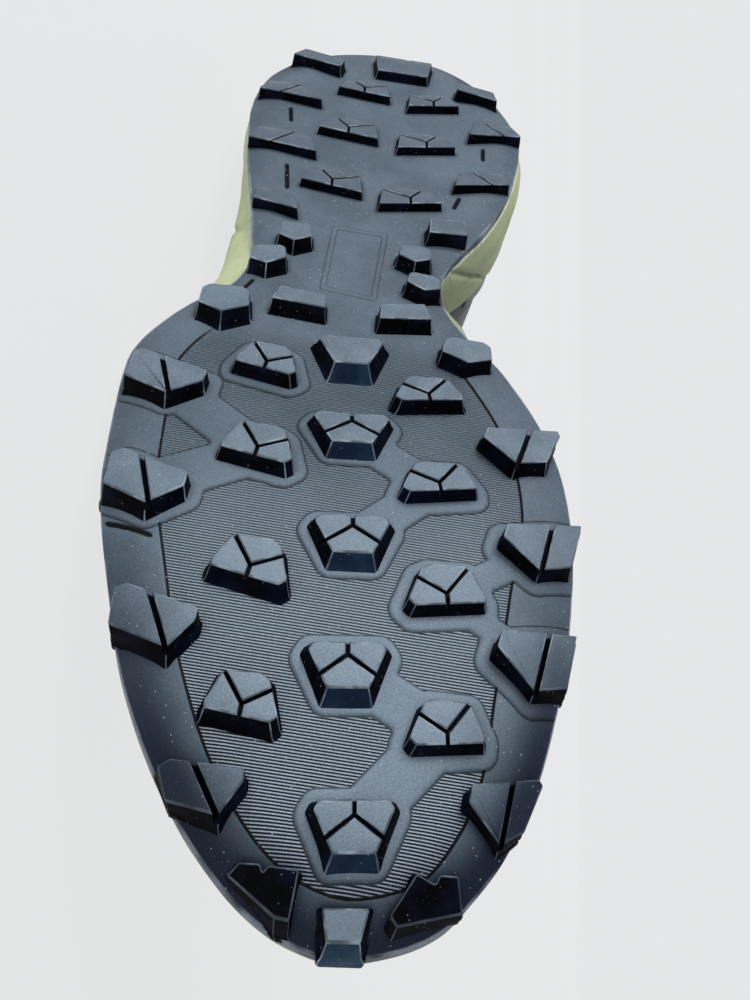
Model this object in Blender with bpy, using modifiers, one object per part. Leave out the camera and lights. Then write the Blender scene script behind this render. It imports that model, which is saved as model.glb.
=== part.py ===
"""Left trail running shoe lying on its lateral side, built as separate pieces.

Shoe frame, in millimetres: x from the heel tip to the toe, y to the lateral side, z up from the
tread base under the arch. At the end everything is turned onto its side and written in metres.
"""
import math
from collections import namedtuple

import bmesh
import bpy
from mathutils import Matrix, Vector

for old in list(bpy.data.objects):
    bpy.data.objects.remove(old, do_unlink=True)

MM = 0.001

# Sole sizes
SOLE_LENGTH = 296.0
HEEL_WIDTH = 86.0
BALL_WIDTH = 109.0
TOE_SPRING = 24.0
HEEL_BEVEL = 6.0
RUBBER = 2.6
RUBBER_EDGE = 2.2
LUG_HEIGHT = 4.5
LUG_DRAFT = 1.0
LUG_LONG = 10.0
LUG_WIDE = 18.0
NOTCH_DEPTH = 3.0
EDGE_LEFT = 1.2
FOAM_HEEL = 27.0
FOAM_BALL = 17.0
FOAM_TOE = 12.5
MIDSOLE_FLARE = 3.0
ARCH_FLARE = 14.0

# Upper sizes
WALL = 2.2
UPPER_INSET = 3.0
COLLAR_HEIGHT = 66.0
ANKLE_HEIGHT = 50.0
INSTEP_HEIGHT = 76.0
TOE_BOX_HEIGHT = 33.0
COLLAR_WIDTH = 64.0
THROAT_WIDTH = 38.0
INSOLE = 4.0
INSOLE_BEVEL = 1.2
OVERLAY = 1.3
TOE_CAP_RISE = 0.42
COUNTER_RISE = 0.62
EYESTAY_BAND = 0.17
TONGUE_THICK = 4.0
TONGUE_RISE = 24.0
TONGUE_SAG = 5.0
LACE = 3.0
LOOP_WIDTH = 11.0
LOOP_THICK = 1.6
LOOP_STAND = 3.6
LOOP_RISE = 5.5

# How it lies, and the clearances between pieces
GAP = 0.3
SEAT = 0.45
LIE_ROLL = -15.5
LIE_YAW = -5.0

ROWS = 40
STEPS = 10

# Outline of the tread. Along is a share of SOLE_LENGTH, lateral and medial are shares of the local width.
Station = namedtuple("Station", "along lateral medial")
OUTLINE = [
    Station(0.000, 0.035, 0.035),
    Station(0.012, 0.225, -0.150),
    Station(0.034, 0.365, -0.262),
    Station(0.061, 0.445, -0.340),
    Station(0.095, 0.500, -0.402),
    Station(0.145, 0.530, -0.460),
    Station(0.185, 0.530, -0.460),
    Station(0.230, 0.517, -0.436),
    Station(0.277, 0.494, -0.390),
    Station(0.321, 0.466, -0.322),
    Station(0.358, 0.436, -0.240),
    Station(0.392, 0.404, -0.176),
    Station(0.419, 0.395, -0.158),
    Station(0.446, 0.420, -0.166),
    Station(0.476, 0.492, -0.212),
    Station(0.507, 0.540, -0.276),
    Station(0.541, 0.572, -0.325),
    Station(0.568, 0.578, -0.360),
    Station(0.601, 0.578, -0.392),
    Station(0.635, 0.575, -0.413),
    Station(0.679, 0.568, -0.425),
    Station(0.720, 0.548, -0.424),
    Station(0.770, 0.510, -0.414),
    Station(0.828, 0.460, -0.390),
    Station(0.878, 0.397, -0.356),
    Station(0.922, 0.325, -0.306),
    Station(0.956, 0.248, -0.242),
    Station(0.977, 0.180, -0.190),
    Station(0.992, 0.100, -0.112),
    Station(1.000, -0.005, -0.005),
]

# Rise of the rubber at its edge and the width it takes, in shares of TOE_SPRING.
Rim = namedtuple("Rim", "along rise reach")
RIM = [
    Rim(0.00, 0.22, 0.55),
    Rim(0.15, 0.13, 0.45),
    Rim(0.38, 0.08, 0.32),
    Rim(0.55, 0.16, 0.45),
    Rim(0.80, 0.22, 0.52),
    Rim(0.94, 0.36, 0.70),
    Rim(1.00, 0.40, 0.75),
]

# How far the foam stands out past the rubber, as shares of MIDSOLE_FLARE and ARCH_FLARE.
Flare = namedtuple("Flare", "along lateral medial arch_lateral arch_medial")
FLARE = [
    Flare(0.00, 0.9, 0.9, 0.0, 0.0),
    Flare(0.15, 1.0, 1.0, 0.0, 0.0),
    Flare(0.26, 1.1, 1.1, 0.10, 0.25),
    Flare(0.34, 1.1, 1.1, 0.35, 0.72),
    Flare(0.42, 1.0, 1.0, 0.50, 0.95),
    Flare(0.48, 0.8, 0.9, 0.16, 0.62),
    Flare(0.54, 0.6, 0.7, 0.02, 0.22),
    Flare(0.62, 0.5, 0.5, 0.00, 0.03),
    Flare(0.80, 0.4, 0.4, 0.00, 0.00),
    Flare(1.00, 0.2, 0.2, 0.00, 0.00),
]

# Side of the foam from the rubber up: share of its height and share of the flare.
Level = namedtuple("Level", "height flare")
LEVELS = [
    Level(0.00, 0.00),
    Level(0.10, 0.45),
    Level(0.28, 0.95),
    Level(0.46, 1.00),
    Level(0.56, 0.78),
    Level(0.66, 0.90),
    Level(0.86, 0.86),
    Level(1.00, 0.62),
]

# Top edge of the upper, row by row along its lower edge. Top is where the edge lies along the sole,
# lateral and medial are shares of COLLAR_WIDTH or THROAT_WIDTH, height is a share of the named height.
Edge = namedtuple("Edge", "along top across lateral medial height round bulge")
EDGES = [
    Edge(0.000, 0.026, "collar", 0.00, 0.00, 1.00, 0.20, 0.50),
    Edge(0.012, 0.032, "collar", 0.15, -0.15, 0.99, 0.20, 0.50),
    Edge(0.040, 0.052, "collar", 0.30, -0.29, 0.94, 0.22, 0.48),
    Edge(0.090, 0.098, "collar", 0.43, -0.41, 0.86, 0.25, 0.42),
    Edge(0.160, 0.163, "collar", 0.49, -0.47, 0.79, 0.28, 0.35),
    Edge(0.240, 0.238, "collar", 0.51, -0.48, 0.78, 0.30, 0.28),
    Edge(0.310, 0.302, "collar", 0.48, -0.45, 0.86, 0.34, 0.22),
    Edge(0.360, 0.345, "collar", 0.41, -0.39, 0.99, 0.42, 0.16),
    Edge(0.400, 0.378, "collar", 0.335, -0.32, 1.06, 0.52, 0.12),
    Edge(0.460, 0.434, "throat", 0.49, -0.47, 0.89, 0.62, 0.12),
    Edge(0.540, 0.518, "throat", 0.44, -0.42, 0.70, 0.72, 0.14),
    Edge(0.620, 0.606, "throat", 0.38, -0.36, 0.54, 0.82, 0.16),
    Edge(0.680, 0.668, "throat", 0.30, -0.28, 0.45, 0.90, 0.18),
    Edge(0.710, 0.696, "throat", 0.20, -0.18, 0.42, 0.94, 0.20),
    Edge(0.730, 0.712, "throat", 0.00, 0.00, 0.405, 0.97, 0.20),
    Edge(0.790, 0.768, "throat", 0.00, 0.00, 0.365, 1.00, 0.20),
    Edge(0.860, 0.835, "throat", 0.00, 0.00, 0.325, 1.00, 0.20),
    Edge(0.920, 0.888, "throat", 0.00, 0.00, 0.285, 1.00, 0.18),
    Edge(0.970, 0.925, "throat", 0.00, 0.00, 0.245, 1.00, 0.14),
    Edge(1.000, 0.945, "throat", 0.00, 0.00, 0.225, 1.00, 0.10),
]

# Plan shapes of the lugs. u runs to the toe and v away from the middle line, both as shares of the size.
SHAPES = {
    "heel_inner": [(0.32, 0.50), (0.50, -0.50), (-0.24, -0.45), (-0.50, -0.02), (-0.34, 0.36)],
    "heel_outer": [(0.28, 0.50), (0.50, -0.50), (-0.06, -0.40), (-0.34, -0.12), (-0.48, 0.36)],
    "centre": [(0.50, 0.26), (0.50, -0.26), (-0.34, -0.50), (-0.50, -0.44), (-0.50, 0.44), (-0.34, 0.50)],
    "inner": [(0.28, 0.50), (0.50, -0.48), (0.38, -0.50), (-0.38, -0.34), (-0.50, -0.22), (-0.50, 0.30), (0.16, 0.50)],
    "outer": [(0.22, 0.50), (0.50, 0.02), (0.12, -0.48), (-0.14, -0.50), (-0.50, 0.34), (-0.42, 0.48)],
    "chevron": [(0.50, 0.06), (0.16, -0.50), (-0.42, -0.36), (-0.50, 0.34), (-0.26, 0.50), (0.14, 0.46)],
    "bar": [(0.42, 0.50), (0.50, -0.50), (-0.36, -0.44), (-0.50, 0.40)],
    "plate": [(0.50, 0.44), (0.50, -0.44), (-0.50, -0.50), (-0.50, 0.50)],
    "tip": [(0.50, 0.28), (0.50, -0.28), (-0.50, -0.50), (-0.50, 0.50)],
}

# One row for each lug: along as a share of SOLE_LENGTH, across as a share of the local width,
# long and wide as shares of LUG_LONG and LUG_WIDE, turn in degrees, side +1 lateral and -1 medial.
Lug = namedtuple("Lug", "name shape along across long wide turn side notch tall", defaults=(1.0,))
LUGS = [
    Lug("H1", "bar", 0.062, 0.305, 0.62, 0.92, 12, 1, 0),
    Lug("H2", "plate", 0.058, -0.014, 1.02, 1.04, -7, 1, 1),
    Lug("H3", "bar", 0.092, -0.300, 0.60, 0.76, -2, -1, 0),
    Lug("H4", "heel_outer", 0.136, 0.396, 1.16, 1.10, -7, 1, 0),
    Lug("H7", "heel_outer", 0.164, -0.362, 1.14, 0.94, -7, -1, 0),
    Lug("H5", "heel_inner", 0.116, 0.128, 0.80, 0.92, -7, 1, 0),
    Lug("H6", "heel_inner", 0.126, -0.132, 0.74, 0.92, -7, -1, 0),
    Lug("H8", "heel_outer", 0.228, 0.396, 1.26, 1.14, -7, 1, 0),
    Lug("H11", "heel_outer", 0.256, -0.312, 1.12, 1.00, -7, -1, 0),
    Lug("H9", "heel_inner", 0.193, 0.171, 1.02, 1.02, -7, 1, 0),
    Lug("H10", "heel_inner", 0.204, -0.109, 0.86, 1.00, -7, -1, 0),
    Lug("H12", "heel_outer", 0.328, 0.390, 1.14, 0.80, -7, 1, 0),
    Lug("H13", "heel_inner", 0.287, 0.208, 1.02, 1.00, -7, 1, 0),
    Lug("H14", "heel_inner", 0.302, -0.060, 0.86, 1.02, -7, -1, 0),
    Lug("W1", "chevron", 0.383, 0.286, 0.76, 0.50, 0, 1, 0),
    Lug("W2", "chevron", 0.419, 0.338, 0.76, 0.54, 0, 1, 0),
    Lug("W3", "bar", 0.347, -0.186, 0.68, 0.66, -5, -1, 0),
    Lug("W4", "chevron", 0.394, -0.074, 0.66, 0.50, 0, -1, 0),
    Lug("W5", "chevron", 0.432, -0.098, 0.64, 0.52, 0, -1, 0),
    Lug("W6", "bar", 0.474, 0.214, 0.54, 0.72, -14, 1, 0),
    Lug("W7", "bar", 0.478, -0.046, 0.60, 0.70, -6, -1, 0),
    Lug("W8", "chevron", 0.486, 0.398, 1.02, 0.72, 0, 1, 0),
    Lug("RO1", "chevron", 0.516, -0.196, 0.86, 0.72, 0, -1, 0),
    Lug("C1", "centre", 0.532, 0.076, 0.92, 0.88, -3, 1, 0),
    Lug("C2", "centre", 0.620, 0.061, 0.90, 0.98, -4, 1, 0),
    Lug("C3", "centre", 0.721, 0.042, 0.92, 0.92, -4, 1, 0),
    Lug("C4", "centre", 0.822, 0.031, 0.94, 0.90, -5, 1, 0),
    Lug("C5", "centre", 0.925, -0.006, 0.92, 0.88, -5, 1, 0, 0.9),
    Lug("F1", "inner", 0.552, 0.262, 0.94, 0.84, -3, 1, 0),
    Lug("F3", "inner", 0.645, 0.254, 1.04, 0.92, -4, 1, 0),
    Lug("F5", "inner", 0.750, 0.236, 1.02, 0.92, -5, 1, 0),
    Lug("F7", "inner", 0.850, 0.220, 0.96, 0.82, -6, 1, 0),
    Lug("R1", "inner", 0.568, -0.104, 0.84, 0.92, -3, -1, 0),
    Lug("R2", "inner", 0.661, -0.130, 0.88, 0.94, -4, -1, 0),
    Lug("R3", "inner", 0.756, -0.152, 1.00, 0.92, -5, -1, 0),
    Lug("R4", "inner", 0.856, -0.164, 0.94, 0.84, -6, -1, 0),
    Lug("F2", "outer", 0.582, 0.476, 1.34, 1.06, -2, 1, 0),
    Lug("F4", "outer", 0.690, 0.469, 1.38, 1.00, -4, 1, 0),
    Lug("F6", "outer", 0.800, 0.410, 1.26, 1.04, -8, 1, 0),
    Lug("F8", "outer", 0.905, 0.280, 1.02, 0.98, -14, 1, 0, 0.85),
    Lug("RO2", "outer", 0.619, -0.310, 1.10, 1.06, 0, -1, 0),
    Lug("RO3", "outer", 0.715, -0.346, 1.14, 1.02, -2, -1, 0),
    Lug("RO4", "outer", 0.805, -0.331, 1.20, 1.02, -2, -1, 0),
    Lug("RO5", "outer", 0.904, -0.283, 0.98, 0.84, 0, -1, 0, 0.85),
    Lug("F9", "bar", 0.972, 0.150, 0.64, 0.66, -30, 1, 0, 0.62),
    Lug("RO6", "bar", 0.966, -0.170, 0.64, 0.62, 16, -1, 0, 0.62),
    Lug("T", "tip", 0.978, -0.004, 0.62, 0.62, -5, 1, 0, 0.5),
]

# Lace crossings up the throat: place of each eyelet pair along the lower edge.
EYELETS = [0.690, 0.645, 0.599, 0.553, 0.508, 0.466, 0.428]

Paint = namedtuple("Paint", "node colour roughness")
PAINTS = [
    Paint("outsole", (0.030, 0.033, 0.040), 0.62),
    Paint("midsole", (0.40, 0.41, 0.31), 0.70),
    Paint("insole", (0.10, 0.10, 0.11), 0.85),
    Paint("upper", (0.055, 0.058, 0.066), 0.80),
    Paint("toe_cap", (0.022, 0.024, 0.030), 0.55),
    Paint("heel_counter", (0.026, 0.028, 0.034), 0.55),
    Paint("eyestay", (0.024, 0.026, 0.032), 0.60),
    Paint("tongue", (0.065, 0.068, 0.075), 0.85),
    Paint("laces", (0.30, 0.31, 0.25), 0.80),
    Paint("heel_loop", (0.30, 0.31, 0.25), 0.75),
]


def blend(a, b, t):
    """Smooth step from a to b while t goes from 0 to 1."""
    t = min(1.0, max(0.0, t))
    return a + (b - a) * t * t * (3.0 - 2.0 * t)


def read(table, along, column):
    """Value of one column of a table at a share of the length, smooth through its rows."""
    rows = [r for r in table]
    if along <= rows[0].along:
        return getattr(rows[0], column)
    for i in range(len(rows) - 1):
        a, b = rows[i], rows[i + 1]
        if along <= b.along:
            break
    else:
        return getattr(rows[-1], column)
    before = rows[max(i - 1, 0)]
    after = rows[min(i + 2, len(rows) - 1)]
    va, vb = getattr(a, column), getattr(b, column)
    span = b.along - a.along
    slope_a = (vb - getattr(before, column)) / max(b.along - before.along, 1e-9) * span
    slope_b = (getattr(after, column) - va) / max(after.along - a.along, 1e-9) * span
    t = (along - a.along) / span
    t2, t3 = t * t, t * t * t
    value = (2 * t3 - 3 * t2 + 1) * va + (t3 - 2 * t2 + t) * slope_a
    return value + (-2 * t3 + 3 * t2) * vb + (t3 - t2) * slope_b


def width_at(x):
    """Heel width at the back, ball width in front, blended under the arch."""
    return blend(HEEL_WIDTH, BALL_WIDTH, (x / SOLE_LENGTH - 0.30) / 0.26)


def smooth_path(points, count):
    """Evenly spaced points along a smooth curve through the given plan points."""
    fine = []
    for i in range(len(points) - 3):
        p0, p1, p2, p3 = points[i:i + 4]
        for s in range(12):
            t = s / 12.0
            a = p1 * 2 + (p2 - p0) * t
            b = (p0 * 2 - p1 * 5 + p2 * 4 - p3) * t * t
            c = (p1 * 3 - p0 - p2 * 3 + p3) * t * t * t
            fine.append((a + b + c) * 0.5)
    fine.append(points[-2].copy())
    lengths = [0.0]
    for a, b in zip(fine, fine[1:]):
        lengths.append(lengths[-1] + (b - a).length)
    result = []
    at = 0
    for i in range(count + 1):
        want = lengths[-1] * i / count
        while at < len(fine) - 2 and lengths[at + 1] < want:
            at += 1
        part = (want - lengths[at]) / max(lengths[at + 1] - lengths[at], 1e-9)
        result.append(fine[at].lerp(fine[at + 1], min(1.0, part)))
    return result


def make_outline():
    """Closed ring of plan points: heel tip, lateral side, toe tip, medial side."""
    sides = []
    for column, sign in (("lateral", 1), ("medial", -1)):
        pts = []
        for r in OUTLINE:
            x = r.along * SOLE_LENGTH
            pts.append(Vector((x, getattr(r, column) * width_at(x))))
        first, last = pts[0], pts[-1]
        other = "medial" if column == "lateral" else "lateral"
        a, b = OUTLINE[1], OUTLINE[-2]
        xa, xb = a.along * SOLE_LENGTH, b.along * SOLE_LENGTH
        lead = Vector((xa, getattr(a, other) * width_at(xa)))
        tail = Vector((xb, getattr(b, other) * width_at(xb)))
        sides.append(smooth_path([lead] + pts + [tail], ROWS))
    return sides[0] + sides[1][-2:0:-1]


RING = make_outline()
COUNT = len(RING)


def outward(i):
    """Plan direction pointing out of the sole at one ring point."""
    d = RING[(i + 1) % COUNT] - RING[i - 1]
    return Vector((-d.y, d.x)).normalized()


OUTWARD = [outward(i) for i in range(COUNT)]


def is_lateral(i):
    return i <= ROWS


def edge_distance(x, y):
    """Distance from a plan point to the tread outline."""
    p = Vector((x, y))
    best = 1e9
    for i in range(COUNT):
        a, b = RING[i], RING[(i + 1) % COUNT]
        d = b - a
        t = max(0.0, min(1.0, (p - a).dot(d) / d.length_squared))
        best = min(best, (p - a - d * t).length)
    return best


def is_inside(p):
    """True for a plan point within the tread outline."""
    odd = False
    for i in range(COUNT):
        a, b = RING[i], RING[(i + 1) % COUNT]
        if (a.y > p.y) != (b.y > p.y):
            if p.x < a.x + (b.x - a.x) * (p.y - a.y) / (b.y - a.y):
                odd = not odd
    return odd


def pull_in(p, centre, margin):
    """Move a lug's corner to its centre until it lies within the outline."""
    for k in range(20):
        q = p.lerp(centre, k * 0.05)
        if is_inside(q) and edge_distance(q.x, q.y) >= margin:
            return q
    return centre


def profile(x):
    """Side view of the tread base: toe spring in front and a bevel at the heel."""
    front = x - 0.62 * SOLE_LENGTH
    back = 0.12 * SOLE_LENGTH - x
    if front > 0:
        return TOE_SPRING * (front / (0.38 * SOLE_LENGTH)) ** 2
    if back > 0:
        return HEEL_BEVEL * (back / (0.12 * SOLE_LENGTH)) ** 2
    return 0.0




def tread(x, y):
    """Height of the tread base at a plan point, with its edge turned up."""
    along = x / SOLE_LENGTH
    reach = read(RIM, along, "reach") * TOE_SPRING
    rise = read(RIM, along, "rise") * TOE_SPRING
    d = edge_distance(x, y)
    return profile(x) + rise * max(0.0, 1.0 - d / reach) ** 2


def slopes(x, y):
    """Lean of the tread base to the toe and to the lateral side, over the size of a lug."""
    reach = LUG_LONG / 2
    lean = (tread(x + reach, y) - tread(x - reach, y)) / (2 * reach)
    tilt = (tread(x, y + reach) - tread(x, y - reach)) / (2 * reach)
    return lean, tilt


def foam_height(x):
    """Height of the foam's upper edge above the tread base's side view."""
    if x < 0.66 * SOLE_LENGTH:
        return blend(FOAM_HEEL, FOAM_BALL, (x / SOLE_LENGTH - 0.18) / 0.48)
    return blend(FOAM_BALL, FOAM_TOE, (x / SOLE_LENGTH - 0.66) / 0.34)


def flare(i):
    """How far the foam reaches out past the rubber at a ring point."""
    along = RING[i].x / SOLE_LENGTH
    side = "lateral" if is_lateral(i) else "medial"
    plain = read(FLARE, along, side) * MIDSOLE_FLARE
    return plain + read(FLARE, along, "arch_" + side) * ARCH_FLARE


def foam_top(i):
    x = RING[i].x
    low = tread(x, RING[i].y) + RUBBER + 2.5
    return max(low, profile(x) + foam_height(x))


def along_of(i):
    """Share of the length of one ring point and its mate across the foot."""
    return (RING[i].x + RING[(COUNT - i) % COUNT].x) / 2 / SOLE_LENGTH


def ring_at(i, out, z):
    p = RING[i] + OUTWARD[i] * out
    return Vector((p.x, p.y, z))


# Mesh helpers

ITEMS = bpy.data.collections.new("trail_running_shoe")
CUTTERS = bpy.data.collections.new("cutters")
bpy.context.scene.collection.children.link(ITEMS)
bpy.context.scene.collection.children.link(CUTTERS)


def finish(bm, name, cutter=False):
    """Turn a bmesh into a named object with its own material."""
    bmesh.ops.remove_doubles(bm, verts=bm.verts, dist=1e-5)
    bmesh.ops.recalc_face_normals(bm, faces=bm.faces)
    mesh = bpy.data.meshes.new(name)
    bm.to_mesh(mesh)
    bm.free()
    obj = bpy.data.objects.new(name, mesh)
    if cutter:
        CUTTERS.objects.link(obj)
        obj.hide_render = True
        obj.display_type = "WIRE"
        return obj
    ITEMS.objects.link(obj)
    paint = next(p for p in PAINTS if p.node == name)
    mat = bpy.data.materials.new(name)
    mat.use_nodes = True
    shader = mat.node_tree.nodes["Principled BSDF"]
    shader.inputs["Base Color"].default_value = (*paint.colour, 1.0)
    shader.inputs["Roughness"].default_value = paint.roughness
    shader.inputs["Metallic"].default_value = 0.0
    mat.diffuse_color = (*paint.colour, 1.0)
    mesh.materials.append(mat)
    return obj


def skin(bm, first, second, closed=True):
    """Faces between two rows of vertices."""
    n = len(first)
    for i in range(n if closed else n - 1):
        k = (i + 1) % n
        quad = [first[i], first[k], second[k], second[i]]
        face = []
        for v in quad:
            if v not in face:
                face.append(v)
        if len(face) > 2:
            bm.faces.new(face)


def cap(bm, ring, shares, height):
    """Close a ring across the foot, row by row, with the height read at each point."""
    rows = [[ring[0]]]
    for k in range(1, ROWS):
        a, b = ring[k], ring[COUNT - k]
        row = [a]
        for s in shares:
            p = a.co.lerp(b.co, s)
            p.z = height(k, s, p)
            row.append(bm.verts.new(p))
        row.append(b)
        rows.append(row)
    rows.append([ring[ROWS]])
    for one, two in zip(rows, rows[1:]):
        if len(one) == 1:
            for i in range(len(two) - 1):
                bm.faces.new([one[0], two[i], two[i + 1]])
        elif len(two) == 1:
            for i in range(len(one) - 1):
                bm.faces.new([two[0], one[i + 1], one[i]])
        else:
            skin(bm, one, two, closed=False)


def new_ring(bm, points):
    return [bm.verts.new(p) for p in points]


TREAD_SHARES = [0.03, 0.09, 0.18, 0.5, 0.82, 0.91, 0.97]
FOAM_SHARES = [0.5]


# Outsole: a rubber sheet with its edge turned up, and the lugs joined to it

def make_outsole():
    bm = bmesh.new()
    low = new_ring(bm, [ring_at(i, 0, tread(RING[i].x, RING[i].y)) for i in range(COUNT)])
    high = new_ring(bm, [v.co + Vector((0, 0, RUBBER_EDGE)) for v in low])
    skin(bm, low, high)
    cap(bm, low, TREAD_SHARES, lambda k, s, p: tread(p.x, p.y))
    cap(bm, high, TREAD_SHARES, lambda k, s, p: tread(p.x, p.y) + RUBBER)
    sole = finish(bm, "outsole")
    lugs = finish(make_lugs(), "lug_tool", cutter=True)
    join = sole.modifiers.new("lugs", "BOOLEAN")
    join.operation = "UNION"
    join.solver = "EXACT"
    join.use_self = True
    join.object = lugs
    return sole, lugs


def lug_outline(lug, grow):
    """Corners of a lug in plan, with its foot a little wider than its ground face."""
    x = lug.along * SOLE_LENGTH
    y = lug.across * width_at(x)
    turn = math.radians(lug.turn)
    ahead = Vector((math.cos(turn), math.sin(turn)))
    aside = Vector((-math.sin(turn), math.cos(turn))) * lug.side
    corners = []
    shape = list(SHAPES[lug.shape])
    if lug.notch:
        cut = NOTCH_DEPTH / (lug.long * LUG_LONG)
        shape = shape[:1] + [(0.5, 0.12), (0.5 - cut, 0.0), (0.5, -0.12)] + shape[1:]
    for u, v in shape:
        p = ahead * (u * lug.long * LUG_LONG) + aside * (v * lug.wide * LUG_WIDE)
        if grow:
            p += p.normalized() * grow
        corners.append(Vector((x, y)) + p)
    if not grow:
        corners = [pull_in(c, Vector((x, y)), EDGE_LEFT) for c in corners]
    return Vector((x, y)), corners


def make_lugs():
    bm = bmesh.new()
    for lug in LUGS:
        centre, ground = lug_outline(lug, 0.0)
        root = lug_outline(lug, LUG_DRAFT)[1]
        ground_z = tread(centre.x, centre.y) - LUG_HEIGHT * lug.tall
        lean, tilt = slopes(centre.x, centre.y)
        low = []
        high = []
        for g, r in zip(ground, root):
            z = ground_z + lean * (g.x - centre.x) + tilt * (g.y - centre.y)
            low.append(bm.verts.new((g.x, g.y, z)))
            inside = pull_in(r, centre, EDGE_LEFT / 3)
            high.append(bm.verts.new((inside.x, inside.y, tread(inside.x, inside.y) + 0.2 * RUBBER_EDGE)))
        bm.faces.new(low)
        top = bm.faces.new(high)
        skin(bm, low, high)
        bmesh.ops.triangulate(bm, faces=[top])
    return bm


# Midsole

def make_midsole():
    bm = bmesh.new()
    rings = []
    for level in LEVELS:
        points = []
        for i in range(COUNT):
            low = tread(RING[i].x, RING[i].y) + RUBBER + GAP
            z = low + (foam_top(i) - low) * level.height
            out = flare(i) * level.flare
            points.append(ring_at(i, out, z))
        rings.append(new_ring(bm, points))
    for a, b in zip(rings, rings[1:]):
        skin(bm, a, b)
    cap(bm, rings[0], TREAD_SHARES, lambda k, s, p: tread(p.x, p.y) + RUBBER + GAP)
    cap(bm, rings[-1], FOAM_SHARES, lambda k, s, p: foam_across(k, s))
    return finish(bm, "midsole")


def foam_across(k, s):
    """Height of the flat foot bed across one row."""
    return foam_top(k) * (1 - s) + foam_top((COUNT - k) % COUNT) * s


# Upper: curves from its lower edge to the collar, the throat or the ridge of the toe box

def feather(i, inset=0.0):
    """Lower edge of the upper on the foam."""
    out = flare(i) * LEVELS[-1].flare - UPPER_INSET - inset
    return ring_at(i, out, foam_top(i) + SEAT)


def is_open(i):
    """True where the two sides stay apart along the collar and throat."""
    return along_of(i) <= EDGES[14].along - 0.004


def edge_point(i):
    """Point of the collar, throat or ridge above one point of the lower edge."""
    along = along_of(i)
    side = "lateral" if is_lateral(i) else "medial"
    x = read(EDGES, along, "top") * SOLE_LENGTH
    share = read(EDGES, along, side) if is_open(i) else 0.0
    width = blend(COLLAR_WIDTH, THROAT_WIDTH, (along - 0.40) / 0.06)
    middle = middle_line(x)
    height = read(EDGES, along, "height")
    top = blend(COLLAR_HEIGHT, ANKLE_HEIGHT / 0.78, along / 0.16)
    top = blend(top, INSTEP_HEIGHT, (along - 0.24) / 0.16)
    top = blend(top, TOE_BOX_HEIGHT / 0.405, (along - 0.54) / 0.19)
    base = foam_top(0) + (profile(x) + foam_height(x) - foam_top(0)) * min(1.0, along * 4)
    return Vector((x, middle + share * width, base + SEAT + height * top))


def middle_line(x):
    """Middle of the foot in plan."""
    along = x / SOLE_LENGTH
    lat = read(OUTLINE, along, "lateral") * width_at(x) + read(FLARE, along, "arch_lateral") * ARCH_FLARE * 0.6
    med = read(OUTLINE, along, "medial") * width_at(x) - read(FLARE, along, "arch_medial") * ARCH_FLARE * 0.6
    return (lat + med) / 2


def build_surface():
    """Outer surface of the upper as rows of points, one row for each point of the lower edge."""
    rows = []
    for i in range(COUNT):
        start, end = feather(i), edge_point(i)
        along = along_of(i)
        q = read(EDGES, along, "round")
        bulge = read(EDGES, along, "bulge") * UPPER_INSET
        out = Vector((OUTWARD[i].x, OUTWARD[i].y, 0))
        row = []
        for j in range(STEPS + 1):
            t = j / STEPS
            a = t * math.pi / 2
            across = (1 - q) * t + q * (1 - math.cos(a))
            up = (1 - q) * t + q * math.sin(a)
            p = start.lerp(end, across)
            p.z = start.z + (end.z - start.z) * up
            row.append(p + out * bulge * math.sin(math.pi * t))
        rows.append(row)
    return rows


SURFACE = build_surface()


def surface_normal(i, j):
    a = SURFACE[(i + 1) % COUNT][j] - SURFACE[i - 1][j]
    b = SURFACE[i][min(j + 1, STEPS)] - SURFACE[i][max(j - 1, 0)]
    n = b.cross(a)
    if n.length < 1e-6:
        return Vector((0, 0, 1))
    return n.normalized()


NORMAL = [[surface_normal(i, j) for j in range(STEPS + 1)] for i in range(COUNT)]
for i in range(ROWS + 1):
    if not is_open(i):
        pair = (COUNT - i) % COUNT
        both = (NORMAL[i][STEPS] + NORMAL[pair][STEPS]).normalized()
        if i == ROWS:
            both = Vector((0.25, 0, 1)).normalized()
        NORMAL[i][STEPS] = NORMAL[pair][STEPS] = both


def on_upper(i, j, off=0.0):
    """Point off the upper's outer surface, counted outward."""
    return SURFACE[i][j] + NORMAL[i][j] * off


def make_upper():
    bm = bmesh.new()
    rows = [[bm.verts.new(p) for p in row] for row in SURFACE]
    for i in range(COUNT):
        skin(bm, rows[i], rows[(i + 1) % COUNT], closed=False)
    obj = finish(bm, "upper")
    thick(obj, WALL, -1.0)
    return obj


def thick(obj, amount, side):
    wall = obj.modifiers.new("wall", "SOLIDIFY")
    wall.thickness = amount
    wall.offset = side
    wall.use_even_offset = True
    wall.use_quality_normals = True


def along_curve(i, t, off):
    """Point at a share of one curve of the upper, moved out by off."""
    j = min(int(t * STEPS), STEPS - 1)
    return on_upper(i, j, off).lerp(on_upper(i, j + 1, off), t * STEPS - j)


def patch(name, rows, band, off, amount, steps):
    """Overlay: a band of the upper's surface, moved out and thickened. Band gives its two edges."""
    bm = bmesh.new()
    made = []
    for i in rows:
        low, high = band(i)
        shares = [low + (high - low) * k / steps for k in range(steps + 1)]
        made.append([bm.verts.new(along_curve(i, t, off)) for t in shares])
    for one, two in zip(made, made[1:]):
        skin(bm, one, two, closed=False)
    obj = finish(bm, name)
    thick(obj, amount, 1.0)
    return obj


def ring_span(test):
    """Ring points that pass a test, in order round the shoe."""
    picked = [i for i in range(COUNT) if test(along_of(i))]
    gaps = [k for k in range(1, len(picked)) if picked[k] - picked[k - 1] > 1]
    if not gaps:
        return picked
    return picked[gaps[0]:] + picked[:gaps[0]]


def toe_cap_band(i):
    """Toe cap: a low rand along the side that rises over the toe."""
    return 0.0, blend(0.07, TOE_CAP_RISE, (along_of(i) - 0.62) / 0.36)


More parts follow.
